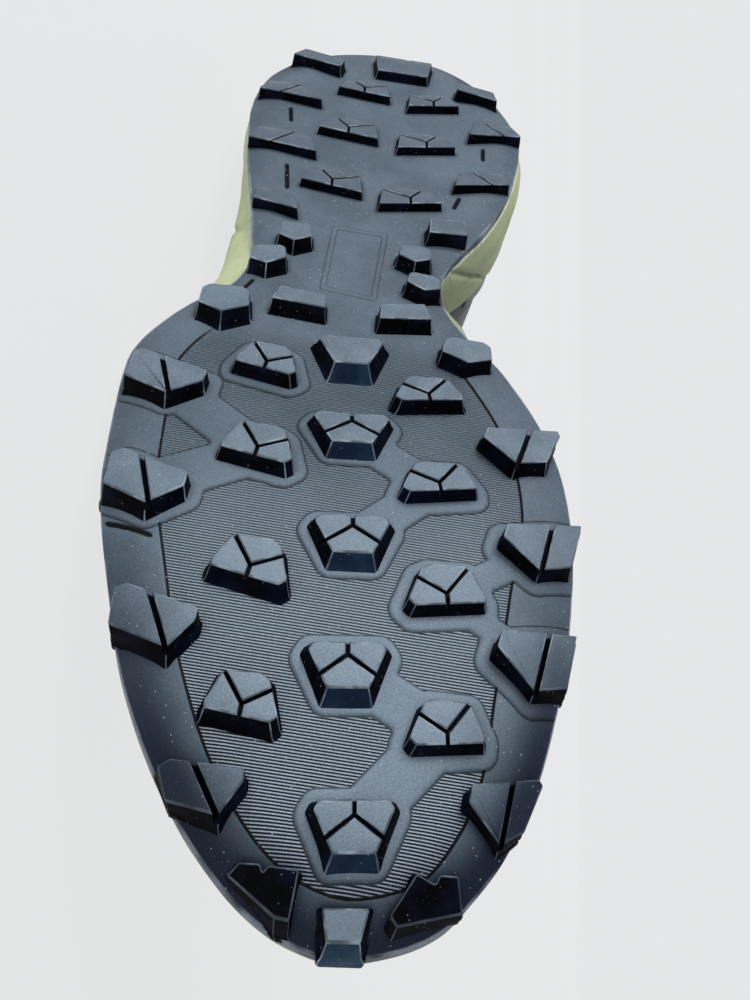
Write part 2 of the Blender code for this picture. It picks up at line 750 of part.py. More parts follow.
def counter_band(i):
    """Heel counter: high at the back and falling to the front."""
    return 0.0, blend(COUNTER_RISE, 0.08, (along_of(i) - 0.02) / 0.33)


def eyestay_band(i):
    """Eyestay: a band along the throat and round its lower end."""
    along = along_of(i)
    wide = blend(EYESTAY_BAND, EYESTAY_BAND * 1.3, (along - 0.44) / 0.22)
    return 1.0 - blend(wide, 0.05, (along - 0.72) / 0.08), 1.0


def make_eyestay():
    """Lateral half down to the ridge, then back up the medial side, as one sheet."""
    lateral = [i for i in range(1, ROWS) if 0.39 < along_of(i) < 0.80]
    bm = bmesh.new()
    for side in (lateral, [COUNT - i for i in lateral]):
        made = []
        for i in side:
            low, high = eyestay_band(i)
            made.append([bm.verts.new(along_curve(i, low + (high - low) * k / 3, GAP)) for k in range(4)])
        for one, two in zip(made, made[1:]):
            skin(bm, one, two, closed=False)
    obj = finish(bm, "eyestay")
    thick(obj, OVERLAY, 1.0)
    return obj


def make_insole():
    bm = bmesh.new()
    rings = []
    for inset, up in ((WALL + 3 * GAP, GAP), (WALL + 3 * GAP + INSOLE_BEVEL, GAP + INSOLE)):
        points = []
        for i in range(COUNT):
            p = feather(i, inset)
            points.append(Vector((p.x, p.y, foam_top(i) + up)))
        rings.append(new_ring(bm, points))
    low, high = rings
    skin(bm, low, high)
    cap(bm, low, [0.5], lambda k, s, p: foam_across(k, s) + GAP)
    cap(bm, high, [0.5], lambda k, s, p: foam_across(k, s) + GAP + INSOLE)
    return finish(bm, "insole")


def throat_rows():
    """Pairs of ring points, lateral and medial, from the top of the throat down to its end."""
    pairs = []
    for i in range(1, ROWS):
        mate = COUNT - i
        if is_open(i) and is_open(mate) and along_of(i) > 0.40:
            pairs.append((i, mate))
    return pairs


def tongue_row(i, mate, depth):
    """Points across the tongue just under the upper, rising a little between the two sides."""
    side = [on_upper(i, j, -depth) for j in (STEPS - 2, STEPS - 1, STEPS)]
    other = [on_upper(mate, j, -depth) for j in (STEPS, STEPS - 1, STEPS - 2)]
    a, b = side[-1], other[0]
    crown = (a - b).length * 0.06
    middle = []
    for s in (0.25, 0.5, 0.75):
        p = a.lerp(b, s)
        p.z += crown * math.sin(math.pi * s)
        middle.append(p)
    return side + middle + other


def make_tongue():
    bm = bmesh.new()
    rows = []
    depth = WALL + 2 * GAP
    pairs = throat_rows()
    for i, mate in reversed(pairs):
        rows.append(tongue_row(i, mate, depth))
    top, below = rows[-1], rows[-2]
    lift = (top[4] - below[4]).normalized()
    half = (top[2] - top[6]).length / 2
    for step, narrow in ((0.16, 0.90), (0.42, 0.92), (0.72, 0.90), (0.93, 0.76), (1.0, 0.52)):
        row = []
        for k in range(9):
            s = 1.0 - k / 4.0
            q = top[4] + lift * (TONGUE_RISE * step)
            q = q + Vector((-0.5, 0, -0.86)) * (TONGUE_SAG * s * s)
            q.y += half * narrow * s
            row.append(q)
        rows.append(row)
    made = [[bm.verts.new(p) for p in row] for row in rows]
    for a, b in zip(made, made[1:]):
        skin(bm, a, b, closed=False)
    obj = finish(bm, "tongue")
    thick(obj, TONGUE_THICK, -1.0)
    return obj


def throat_point(along, lateral, j, off):
    """Point near the throat at a share along the lower edge, between two rows of the surface."""
    order = range(1, ROWS) if lateral else range(COUNT - 1, ROWS, -1)
    last = None
    for i in order:
        a = along_of(i)
        if last is not None and a >= along:
            la = along_of(last)
            t = (along - la) / (a - la)
            j0 = int(j)
            low = on_upper(last, j0, off).lerp(on_upper(last, min(j0 + 1, STEPS), off), j - j0)
            high = on_upper(i, j0, off).lerp(on_upper(i, min(j0 + 1, STEPS), off), j - j0)
            return low.lerp(high, t)
        last = i
    return on_upper(last, STEPS, off)


def make_laces():
    """Crossed laces over the tongue, joined into one solid."""
    above = OVERLAY + 6 * GAP + LACE / 2
    strands = []
    for a, b in zip(EYELETS, EYELETS[1:]):
        for left, lift in ((True, 0.0), (False, LACE * 0.13)):
            off = above + lift
            start = throat_point(a, left, STEPS - 1.0, off)
            lip = throat_point(a * 0.9 + b * 0.1, left, STEPS - 0.25, off + 0.4)
            far = throat_point(a * 0.1 + b * 0.9, not left, STEPS - 0.25, off + 0.55)
            end = throat_point(b, not left, STEPS - 0.87, off + 0.2)
            middle = (lip + far) / 2 + Vector((0.3, 0, 1)).normalized() * 1.6
            strands.append([start, lip, lip.lerp(middle, 0.6), middle, far.lerp(middle, 0.6), far, end])
    pieces = []
    for n, points in enumerate(strands):
        curve = bpy.data.curves.new("strand", "CURVE")
        curve.dimensions = "3D"
        curve.bevel_depth = LACE / 2
        curve.bevel_resolution = 1
        curve.use_fill_caps = True
        line = curve.splines.new("POLY")
        line.points.add(len(points) - 1)
        for at, p in zip(line.points, points):
            at.co = (*p, 1.0)
        tube = bpy.data.objects.new("strand", curve)
        CUTTERS.objects.link(tube)
        bpy.context.view_layer.update()
        seen = tube.evaluated_get(bpy.context.evaluated_depsgraph_get())
        mesh = bpy.data.meshes.new_from_object(seen)
        bpy.data.objects.remove(tube, do_unlink=True)
        bm = bmesh.new()
        bm.from_mesh(mesh)
        pieces.append(finish(bm, "laces" if n == 0 else "strand_%02d" % n, cutter=n > 0))
    for other in pieces[1:]:
        join = pieces[0].modifiers.new(other.name, "BOOLEAN")
        join.operation = "UNION"
        join.solver = "EXACT"
        join.object = other
    return pieces


def make_loop():
    """Pull loop up the back of the heel."""
    bm = bmesh.new()
    back = [on_upper(0, j, 2 * GAP + LOOP_THICK / 2) for j in (STEPS - 3, STEPS - 2, STEPS - 1, STEPS)]
    out = Vector((-1, 0, 0))
    path = [
        back[0] + out * 0.2,
        back[1] + out * LOOP_STAND * 0.6,
        back[2] + out * LOOP_STAND,
        back[3] + out * LOOP_STAND * 0.95 + Vector((0, 0, LOOP_RISE * 0.36)),
        back[3] + out * LOOP_STAND * 0.33 + Vector((0, 0, LOOP_RISE)),
        back[3] + Vector((LOOP_THICK, 0, LOOP_RISE * 0.84)),
    ]
    rows = []
    for p in path:
        rows.append([bm.verts.new(p + Vector((0, s * LOOP_WIDTH / 2, 0))) for s in (-1, 0, 1)])
    for a, b in zip(rows, rows[1:]):
        skin(bm, a, b, closed=False)
    obj = finish(bm, "heel_loop")
    thick(obj, LOOP_THICK, 0.0)
    return obj


def lay_down(objects):
    """Turn the shoe onto its lateral side, in metres, standing on z = 0 over the origin."""
    side = Matrix(((1, 0, 0), (0, 0, 1), (0, -1, 0)))
    turn = Matrix.Rotation(math.radians(LIE_ROLL), 3, "X") @ Matrix.Rotation(math.radians(LIE_YAW), 3, "Y")
    full = (turn @ side).to_4x4() * MM
    full[3][3] = 1.0
    for obj in objects:
        obj.data.transform(full)
        for mod in obj.modifiers:
            if mod.type == "SOLIDIFY":
                mod.thickness *= MM
    bpy.context.view_layer.update()
    deps = bpy.context.evaluated_depsgraph_get()
    low = Vector((1e9, 1e9, 1e9))
    high = -low
    for obj in ITEMS.objects:
        for v in obj.evaluated_get(deps).data.vertices:
            for a in range(3):
                low[a] = min(low[a], v.co[a])
                high[a] = max(high[a], v.co[a])
    shift = Matrix.Translation(Vector((-(low.x + high.x) / 2, -(low.y + high.y) / 2, -low.z)))
    for obj in objects:
        obj.data.transform(shift)
    return shift


def main():
    made = list(make_outsole())
    made.append(make_midsole())
    made.append(make_insole())
    made.append(make_upper())
    made.append(patch("toe_cap", ring_span(lambda a: a > 0.60), toe_cap_band, GAP, OVERLAY, 5))
    made.append(patch("heel_counter", ring_span(lambda a: a < 0.33), counter_band, GAP, OVERLAY, 6))
    made.append(make_eyestay())
    made.append(make_tongue())
    made.extend(make_laces())
    made.append(make_loop())
    lay_down(made)


main()
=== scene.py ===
# %% [markdown]
# # A left trail running shoe, lying on its side
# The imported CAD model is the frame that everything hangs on: it says where each piece is, in metres.
# We load it first, keep its box, and then dress it piece by piece: the rubber sole with its lugs,
# the foam, the fabric upper with its overlays, the tongue, the laces and the pull loop.

# %% Load the frame
import math
from collections import namedtuple

import bmesh
import bpy
import numpy as np
from mathutils import Matrix, Vector


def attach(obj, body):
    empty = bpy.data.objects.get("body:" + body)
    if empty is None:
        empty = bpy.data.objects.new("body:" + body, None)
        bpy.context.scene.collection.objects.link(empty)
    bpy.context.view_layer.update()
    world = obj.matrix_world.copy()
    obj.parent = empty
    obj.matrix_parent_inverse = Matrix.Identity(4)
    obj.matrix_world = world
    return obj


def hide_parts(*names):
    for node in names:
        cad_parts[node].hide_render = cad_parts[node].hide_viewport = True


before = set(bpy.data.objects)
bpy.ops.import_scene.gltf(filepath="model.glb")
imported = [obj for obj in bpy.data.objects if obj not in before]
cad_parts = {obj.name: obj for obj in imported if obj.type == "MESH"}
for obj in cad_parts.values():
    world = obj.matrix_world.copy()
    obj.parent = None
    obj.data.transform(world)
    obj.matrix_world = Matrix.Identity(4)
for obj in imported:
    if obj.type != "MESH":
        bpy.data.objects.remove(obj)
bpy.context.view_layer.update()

print("CAD nodes:", sorted(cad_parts))

# %% [markdown]
# ## The camera and the room
# The camera goes first, because it decides what has to be good. It is close to the toe and looks
# along the tread to the heel, so the forefoot looms and the heel shrinks. A camera's matrix has its
# right, up and backward directions as columns; we write them in the shoe's own millimetres and turn
# them with the shoe. The other way, aiming with a Track To constraint, gives no roll, and here the
# picture is turned almost a quarter round.

# %% How the shoe lies
MM = 0.001
LIE_ROLL = -15.5
LIE_YAW = -5.0
HEEL_AT = Vector((-0.146498, -0.050236, 0.052604))

ON_ITS_SIDE = Matrix(((1, 0, 0), (0, 0, 1), (0, -1, 0)))
TURN = Matrix.Rotation(math.radians(LIE_ROLL), 3, "X") @ Matrix.Rotation(math.radians(LIE_YAW), 3, "Y") @ ON_ITS_SIDE
LAY_DOWN = Matrix.Translation(HEEL_AT) @ (TURN * MM).to_4x4()
LAY_DOWN[3][3] = 1.0

# %% Camera
EYE = Vector((359.85, 16.69, -194.14))
RIGHT = Vector((-0.0437, -0.9916, -0.1214))
DOWN = Vector((0.7741, -0.1104, 0.6233))
FORWARD = Vector((-0.6315, -0.0667, 0.7725))

lens = bpy.data.cameras.new("camera")
lens.sensor_width = 36.0
lens.lens = 39.7
lens.clip_start = 0.01
camera = bpy.data.objects.new("camera", lens)
bpy.context.scene.collection.objects.link(camera)
axes = Matrix((TURN @ RIGHT, TURN @ -DOWN, TURN @ -FORWARD)).transposed()
camera.matrix_world = Matrix.Translation(LAY_DOWN @ EYE) @ axes.to_4x4()
bpy.context.scene.camera = camera
print("camera at", [round(v, 3) for v in camera.location])

# %% [markdown]
# ## Writing materials as sums
# A material that looks real is mostly arithmetic: a bit of noise, a threshold, a distance from an
# edge. Placing Math nodes by hand hides that. The small class below wraps one output socket and adds
# a Math node for each operator, so a mask reads as a formula. Any other node comes from `add`.

# %% A wrapped socket
class Wire:
    """One output socket. Sums with other wires or numbers add Math nodes."""

    def __init__(self, finish, socket):
        self.finish, self.socket = finish, socket

    def math(self, operation, *values):
        return self.finish.add("ShaderNodeMath", {"operation": operation}, values)

    def __add__(self, other):
        return self.math("ADD", self, other)

    def __sub__(self, other):
        return self.math("SUBTRACT", self, other)

    def __mul__(self, other):
        return self.math("MULTIPLY", self, other)

    def __rsub__(self, other):
        return self.math("SUBTRACT", other, self)

    __radd__ = __add__
    __rmul__ = __mul__

    def step(self, low, high):
        """0 below low, 1 above high, smooth between them."""
        settings = {"interpolation_type": "SMOOTHSTEP"}
        return self.finish.add("ShaderNodeMapRange", settings, {0: self, 1: low, 2: high, 3: 0.0, 4: 1.0})

    def sine(self):
        return self.math("SINE", self)

    def size(self):
        return self.math("ABSOLUTE", self)

    def least(self, other):
        return self.math("MINIMUM", self, other)

    def most(self, other):
        return self.math("MAXIMUM", self, other)


class Finish:
    """A material being put together round its Principled shader."""

    def __init__(self, name, **plain):
        self.material = bpy.data.materials.new(name)
        self.material.use_nodes = True
        self.tree = self.material.node_tree
        self.shader = self.tree.nodes["Principled BSDF"]
        for socket, value in plain.items():
            self.shader.inputs[socket.replace("_", " ")].default_value = value

    def add(self, kind, settings=(), values=(), out=0):
        """A node of a kind, with its settings made first and then its sockets."""
        node = self.tree.nodes.new(kind)
        for key, value in dict(settings).items():
            setattr(node, key, value)
        for key, value in (values.items() if isinstance(values, dict) else enumerate(values)):
            if isinstance(value, Wire):
                self.tree.links.new(value.socket, node.inputs[key])
            else:
                node.inputs[key].default_value = value
        return Wire(self, node.outputs[out])

    def mark(self, name):
        """A number stored on the mesh's vertices."""
        return self.add("ShaderNodeAttribute", {"attribute_name": name}, out="Fac")

    def place(self):
        return self.add("ShaderNodeTexCoord", out="Object")

    def noise(self, size, detail=3.0, rough=0.55, where=None):
        """Soft noise whose blobs are about size millimetres across."""
        values = {"Vector": where or self.place(), "Scale": 1.0 / (size * MM), "Detail": detail, "Roughness": rough}
        return self.add("ShaderNodeTexNoise", {}, values)

    def specks(self, size, where=None):
        """Distance to the nearest of many scattered points, in cells."""
        values = {"Vector": where or self.place(), "Scale": 1.0 / (size * MM)}
        return self.add("ShaderNodeTexVoronoi", {}, values, out="Distance")

    def mix(self, share, one, two):
        """Colour between one and two."""
        values = {0: share}
        for key, colour in ((6, one), (7, two)):
            values[key] = colour if isinstance(colour, Wire) else (*colour, 1.0)
        return self.add("ShaderNodeMix", {"data_type": "RGBA"}, values, out=2)

    def shade(self, colour, amount):
        """Colour made darker or lighter by a number."""
        grey = self.add("ShaderNodeCombineColor", {}, (amount, amount, amount))
        settings = {"data_type": "RGBA", "blend_type": "MULTIPLY"}
        return self.add("ShaderNodeMix", settings, {0: 1.0, 6: colour, 7: grey}, out=2)

    def finish(self, colour=None, roughness=None, relief=None, depth=1.0, glow=None):
        """Link what varies. Relief is in millimetres."""
        for socket, wire in (("Base Color", colour), ("Roughness", roughness), ("Emission Color", glow)):
            if wire is not None:
                self.tree.links.new(wire.socket, self.shader.inputs[socket])
        if relief is not None:
            bump = self.add("ShaderNodeBump", {}, {"Strength": depth, "Distance": MM, "Height": relief})
            self.tree.links.new(bump.socket, self.shader.inputs["Normal"])
        return self.material


# %% [markdown]
# ## Studio
# The real picture has no horizon and no shadow under the shoe, as on a light table. We get that with
# a floor that glows a little less than the sky and whose own albedo makes up the rest. A plain grey
# floor would show the shoe's shadow and a horizon line. The sky is bright at the horizon and dimmer
# overhead, so that it doesn't wash out the tread. One large softbox stands on the heel's side and
# above: it rakes over the tread and leaves each lug's toe side dark, which is what draws the tread.

# %% Floor
FLOOR_RADIUS = 9.0


def light_table():
    finish = Finish("light_table", Roughness=0.9, Emission_Strength=1.0)
    cloud = finish.noise(700.0, 1.0).step(0.2, 0.8)
    glow = finish.mix(cloud, (0.733, 0.737, 0.742), (0.740, 0.745, 0.752))
    return finish.finish(finish.mix(cloud, (0.028, 0.028, 0.029), (0.031, 0.031, 0.032)), glow=glow)


bm = bmesh.new()
bmesh.ops.create_circle(bm, cap_ends=True, segments=96, radius=FLOOR_RADIUS)
mesh = bpy.data.meshes.new("floor")
bm.to_mesh(mesh)
bm.free()
mesh.materials.append(light_table())
floor = bpy.data.objects.new("floor", mesh)
bpy.context.scene.collection.objects.link(floor)
print("floor:", 2 * FLOOR_RADIUS, "m across")

# %% Sky
SKY_LOW, SKY_TOP = 0.805, 0.36
DIMS_FROM, DIMS_TO = 0.12, 0.80
world = bpy.data.worlds.new("studio")
world.use_nodes = True
background = world.node_tree.nodes["Background"]
sky = world.node_tree.nodes
ray = sky.new("ShaderNodeTexCoord")
height = sky.new("ShaderNodeSeparateXYZ")
fall = sky.new("ShaderNodeMapRange")
fall.interpolation_type = "SMOOTHSTEP"
for key, value in enumerate((DIMS_FROM, DIMS_TO, SKY_LOW, SKY_TOP), 1):
    fall.inputs[key].default_value = value
tie = world.node_tree.links.new
tie(ray.outputs["Generated"], height.inputs[0])
tie(height.outputs["Z"], fall.inputs[0])
tie(fall.outputs[0], background.inputs["Strength"])
background.inputs["Color"].default_value = (0.985, 0.99, 1.0, 1.0)
bpy.context.scene.world = world
bpy.context.scene.view_settings.view_transform = "Standard"
print("sky:", SKY_LOW, "at the horizon,", SKY_TOP, "overhead")

# %% Softbox
BOX_AT, BOX_AIM = Vector((-0.52, -1.45, 0.95)), Vector((0.06, -0.05, 0.05))
lamp = bpy.data.lights.new("heel_softbox", "AREA")
lamp.shape = "DISK"
lamp.size = 0.9
lamp.energy = 29.0
stand = bpy.data.objects.new("heel_softbox", lamp)
stand.location = BOX_AT
stand.rotation_euler = (BOX_AIM - BOX_AT).to_track_quat("-Z", "Y").to_euler()
bpy.context.scene.collection.objects.link(stand)
print("softbox:", round((BOX_AIM - BOX_AT).length, 2), "m from the shoe")

# %% [markdown]
# ## Shape of the sole in numbers
# These tables are the shoe's own drawing: the outline of the tread, how its edge turns up, how far
# the foam stands out, and where the upper's top edge runs. Each value is a share of a named size, so
# the shoe can be stretched by changing a size. Most of them are as in the part's source. The camera
# asks for a little else in some places: a slimmer waist on the medial side, slimmer foam, a slimmer
# toe, a heel edge that lies further back and a flatter heel bevel.

# %% Sizes
SOLE_LENGTH, HEEL_WIDTH, BALL_WIDTH = 296.0, 86.0, 109.0
TOE_SPRING, HEEL_BEVEL = 24.0, 3.4
RUBBER, RUBBER_EDGE = 2.6, 2.2
LUG_HEIGHT, LUG_DRAFT, LUG_LONG, LUG_WIDE = 4.5, 0.6, 10.0, 18.0
NOTCH_DEPTH = 3.0
FOAM_HEEL, FOAM_BALL, FOAM_TOE = 27.0, 17.0, 12.5
MIDSOLE_FLARE, ARCH_FLARE, ARCH_SWELL = 3.0, 14.0, 8.0
GAP, SEAT = 0.3, 0.45
print("sole:", SOLE_LENGTH, "mm long,", BALL_WIDTH, "mm wide at the ball")

# %% Outline, edge and flare
Station = namedtuple("Station", "along lateral medial")
OUTLINE = [
    Station(-0.024, 0.040, 0.030), Station(-0.010, 0.235, -0.165), Station(0.018, 0.372, -0.280),
    Station(0.053, 0.446, -0.352), Station(0.093, 0.500, -0.405), Station(0.145, 0.530, -0.460),
    Station(0.185, 0.530, -0.460), Station(0.230, 0.517, -0.436), Station(0.277, 0.494, -0.390),
    Station(0.321, 0.466, -0.322), Station(0.358, 0.436, -0.240), Station(0.392, 0.404, -0.176),
    Station(0.419, 0.395, -0.158), Station(0.446, 0.420, -0.166), Station(0.476, 0.492, -0.212),
    Station(0.507, 0.540, -0.276), Station(0.541, 0.572, -0.325), Station(0.568, 0.578, -0.360),
    Station(0.601, 0.578, -0.392), Station(0.635, 0.575, -0.413), Station(0.679, 0.568, -0.425),
    Station(0.720, 0.548, -0.424), Station(0.770, 0.510, -0.414), Station(0.828, 0.460, -0.390),
    Station(0.878, 0.391, -0.356), Station(0.920, 0.311, -0.306), Station(0.951, 0.230, -0.242),
    Station(0.970, 0.163, -0.190), Station(0.983, 0.090, -0.112), Station(0.990, -0.005, -0.005),
]
Rim = namedtuple("Rim", "along rise reach")
RIM = [
    Rim(0.00, 0.22, 0.55), Rim(0.15, 0.10, 0.45), Rim(0.38, 0.06, 0.32), Rim(0.55, 0.09, 0.40),
    Rim(0.70, 0.10, 0.42), Rim(0.80, 0.15, 0.48), Rim(0.94, 0.33, 0.68), Rim(1.00, 0.38, 0.72),
]
Flare = namedtuple("Flare", "along lateral medial arch_lateral arch_medial")
FLARE = [
    Flare(0.00, 0.7, 0.7, 0.0, 0.0), Flare(0.15, 0.5, 0.9, 0.0, 0.0), Flare(0.26, 0.6, 0.6, 0.0, 0.00),
    Flare(0.34, 0.8, 0.4, 0.24, 0.00), Flare(0.40, 0.9, 0.5, 0.44, 0.04), Flare(0.435, 0.9, 0.7, 0.46, 0.42),
    Flare(0.48, 0.5, 0.7, 0.14, 0.30), Flare(0.54, -0.1, 0.2, 0.00, 0.10), Flare(0.62, -0.3, -0.3, 0.0, 0.0),
    Flare(0.80, -0.3, -0.3, 0.0, 0.0), Flare(1.00, -0.3, -0.3, 0.0, 0.0),
]
print("tables:", len(OUTLINE), "stations,", len(RIM), "edges,", len(FLARE), "flares")


# %% Smooth curves through the tables
def blend(a, b, t):
    """Smooth step from a to b while t goes from 0 to 1."""
    t = np.clip(t, 0.0, 1.0)
    return a + (b - a) * t * t * (3.0 - 2.0 * t)


def curve(table, column):
    """A table's column as a function of the share of the length, smooth through its rows."""
    along = np.array([row.along for row in table])
    value = np.array([getattr(row, column) for row in table])
    slope = np.zeros(len(along))
    slope[1:-1] = (value[2:] - value[:-2]) / (along[2:] - along[:-2])
    slope[0] = (value[1] - value[0]) / (along[1] - along[0])
    slope[-1] = (value[-1] - value[-2]) / (along[-1] - along[-2])

    def at(share):
        share = np.clip(share, along[0], along[-1])
        k = np.clip(np.searchsorted(along, share, side="right") - 1, 0, len(along) - 2)
        span = along[k + 1] - along[k]
        t = (share - along[k]) / span
        t2, t3 = t * t, t * t * t
        bend = (t3 - 2 * t2 + t) * slope[k] + (t3 - t2) * slope[k + 1]
        return (2 * t3 - 3 * t2 + 1) * value[k] + (3 * t2 - 2 * t3) * value[k + 1] + bend * span

    return at


WIDENS_FROM, WIDENS_OVER = 0.30, 0.26


def width_at(x):
    """Heel width at the back, ball width in front, blended under the arch."""
    return blend(HEEL_WIDTH, BALL_WIDTH, (x / SOLE_LENGTH - WIDENS_FROM) / WIDENS_OVER)


def smooth_path(points, count):
    """Even points on a smooth curve through the given ones, whose two ends only lead in and out."""
    fine = []
    for p0, p1, p2, p3 in zip(points, points[1:], points[2:], points[3:]):
        for t in np.arange(12) / 12.0:
            bend = (p0 * 2 - p1 * 5 + p2 * 4 - p3) * t * t + (p1 * 3 - p0 - p2 * 3 + p3) * t ** 3
            fine.append((p1 * 2 + (p2 - p0) * t + bend) * 0.5)
    fine = np.array(fine + [points[-2]])
    run = np.concatenate([[0.0], np.cumsum(np.linalg.norm(np.diff(fine, axis=0), axis=1))])
    want = np.linspace(0.0, run[-1], count + 1)
    return np.stack([np.interp(want, run, fine[:, a]) for a in range(fine.shape[1])], axis=1)


def outline_side(column, count):
    """Plan points of one side of the tread, from the heel tip to the toe tip."""
    other = "medial" if column == "lateral" else "lateral"

    def spot(row, side):
        x = row.along * SOLE_LENGTH
        return np.array([x, getattr(row, side) * width_at(x)])

    points = [spot(row, column) for row in OUTLINE]
    return smooth_path([spot(OUTLINE[1], other)] + points + [spot(OUTLINE[-2], other)], count)


EDGE = np.concatenate([outline_side("lateral", 80), outline_side("medial", 80)[-2::-1]])
print("outline:", len(EDGE), "points,", round(float(np.ptp(EDGE[:, 1])), 1), "mm wide")


# %% Distances in plan
def distance(points, line):
    """Distance from each plan point to a chain of straight lines."""
    best = np.full(points.shape[:-1], 1e9)
    for a, b in zip(line, line[1:]):
        d = b - a
        t = np.clip(((points - a) @ d) / max(d @ d, 1e-12), 0.0, 1.0)
        best = np.minimum(best, np.linalg.norm(points - a - t[..., None] * d, axis=-1))
    return best


def inside(points, line):
    """True for each plan point within a closed chain."""
    odd = np.zeros(points.shape[:-1], bool)
    x, y = points[..., 0], points[..., 1]
    for a, b in zip(line, line[1:]):
        if a[1] != b[1]:
            crosses = (a[1] > y) != (b[1] > y)
            odd ^= crosses & (x < a[0] + (b[0] - a[0]) * (y - a[1]) / (b[1] - a[1]))
    return odd


def depth(points):
    """How far within the tread's outline each plan point is, negative outside it."""
    return np.where(inside(points, EDGE), 1.0, -1.0) * distance(points, EDGE)


SPRING_SHARE, BEVEL_SHARE = 0.38, 0.12


def profile(x):
    """Side view of the tread base: toe spring in front and a bevel at the heel."""
    front = np.maximum(x - (1 - SPRING_SHARE) * SOLE_LENGTH, 0.0) / (SPRING_SHARE * SOLE_LENGTH)
    back = np.maximum(BEVEL_SHARE * SOLE_LENGTH - x, 0.0) / (BEVEL_SHARE * SOLE_LENGTH)
    return TOE_SPRING * front ** 2 + HEEL_BEVEL * back ** 2


rim_rise, rim_reach = curve(RIM, "rise"), curve(RIM, "reach")


def tread(points):
    """Height of the tread base at plan points, with its edge turned up."""
    along = points[..., 0] / SOLE_LENGTH
    near = np.maximum(0.0, 1.0 - distance(points, EDGE) / (rim_reach(along) * TOE_SPRING))
    return profile(points[..., 0]) + rim_rise(along) * TOE_SPRING * near ** 2


# %% [markdown]
# ## Making a piece from a grid
# Most of a shoe is sheet: rubber, foam skin, fabric. Each is a grid that is bent into place. We let
# `create_grid` make the faces and its UV map, and only move its vertices to a block of points, so a
# seam can be closed later by merging what meets. Numbers that a finish needs, such as the distance
# to an edge, go on the vertices as marks.

# %% Grid, join and piece
def grid(points, marks=()):
    """A grid moved to rows x columns x 3 points, in shoe millimetres, with marks on its vertices."""
    rows, columns = points.shape[:2]
    bm = bmesh.new()
    bm.loops.layers.uv.new("UVMap")
    bmesh.ops.create_grid(bm, x_segments=columns - 1, y_segments=rows - 1, size=0.5, calc_uvs=True)
    for vert, spot in zip(bm.verts, points.reshape(-1, 3).tolist()):
        vert.co = spot
    for name, values in dict(marks).items():
        layer = bm.verts.layers.float.new(name)
        for vert, value in zip(bm.verts, np.ravel(values).tolist()):
            vert[layer] = value
    return bm


def join(bm, *others):
    """Add other bmeshes to the first."""
    for other in others:
        mesh = bpy.data.meshes.new("part")
        other.to_mesh(mesh)
        other.free()
        bm.from_mesh(mesh)
        bpy.data.meshes.remove(mesh)
    return bm


def piece(bm, name, materials, node=None, sharp=40.0, merge=0.004, turn=True):
    """Close the seams, lay the piece down in the frame and hang it on the model."""
    if merge:
        bmesh.ops.remove_doubles(bm, verts=bm.verts, dist=merge)
        bmesh.ops.dissolve_degenerate(bm, edges=bm.edges, dist=merge / 4)
    if turn:
        bmesh.ops.recalc_face_normals(bm, faces=bm.faces)
    bmesh.ops.transform(bm, matrix=LAY_DOWN, verts=bm.verts)
    mesh = bpy.data.meshes.new(name)
    bm.to_mesh(mesh)
    bm.free()
    for material in materials:
        mesh.materials.append(material)
    mesh.shade_smooth()
    if sharp:
        mesh.set_sharp_from_angle(angle=math.radians(sharp))
    made = bpy.data.objects.new(name, mesh)
    bpy.context.scene.collection.objects.link(made)
    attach(made, "root")
    if node:
        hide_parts(node)
    print(f"{name}: {len(mesh.polygons)} faces")
    return made


# %% [markdown]
# ## Lugs
# The tread is cut into blocks, and every block is one of thirteen plan shapes that is moved, sized and
# turned. On the real shoe they are one moulding with the sheet. They could be cut out of one block
# with booleans, but it is cleaner to raise each from its own outline: a face, its corners rounded
# with a vertex bevel, split by planes where a sipe runs, extruded to the ground, and edged with a
# small bevel. Only then is the flat block bent onto the sole.

# %% Plan shapes
SHAPES = {
    "heel_inner": [(0.22, 0.50), (0.50, -0.50), (-0.24, -0.45), (-0.50, -0.02), (-0.34, 0.36)],
    "heel_outer": [(0.12, 0.50), (0.50, -0.50), (-0.06, -0.40), (-0.34, -0.12), (-0.48, 0.36)],
    "centre": [(0.50, 0.26), (0.50, -0.26), (-0.34, -0.50), (-0.50, -0.44), (-0.50, 0.44), (-0.34, 0.50)],
    "inner": [(0.30, 0.50), (0.50, -0.40), (0.36, -0.50), (-0.38, -0.34), (-0.50, -0.22), (-0.50, 0.30),
              (0.14, 0.50)],
    "outer": [(0.20, 0.50), (0.50, -0.06), (0.12, -0.48), (-0.14, -0.50), (-0.50, 0.34), (-0.42, 0.48)],
    "outer_toe": [(0.20, 0.50), (0.50, -0.24), (0.04, -0.50), (-0.16, -0.50), (-0.50, 0.34), (-0.42, 0.48)],
    "wing": [(0.42, 0.26), (0.50, -0.14), (-0.20, -0.50), (-0.48, -0.42), (-0.50, 0.50), (-0.40, 0.55)],
    "chevron": [(0.50, 0.02), (0.18, -0.50), (-0.36, -0.44), (-0.50, -0.30), (-0.50, 0.34), (-0.34, 0.48),
                (0.22, 0.50)],
    "bar": [(0.42, 0.50), (0.50, -0.50), (-0.36, -0.44), (-0.50, 0.40)],
    "plate": [(0.50, 0.44), (0.50, -0.44), (-0.50, -0.50), (-0.50, 0.50)],
    "tip": [(0.50, 0.36), (0.50, -0.36), (-0.50, -0.50), (-0.50, 0.50)],
    "toe": [(0.50, -0.50), (0.46, -0.28), (-0.24, 0.50), (-0.50, 0.36), (-0.50, 0.06), (-0.34, 0.00),
            (-0.48, -0.06), (-0.44, -0.50)],
    "toe_medial": [(0.10, 0.50), (0.56, -0.38), (0.42, -0.50), (-0.30, -0.22), (-0.22, 0.06), (-0.38, 0.10),
                   (-0.44, 0.36)],
}
print("plan shapes:", len(SHAPES))

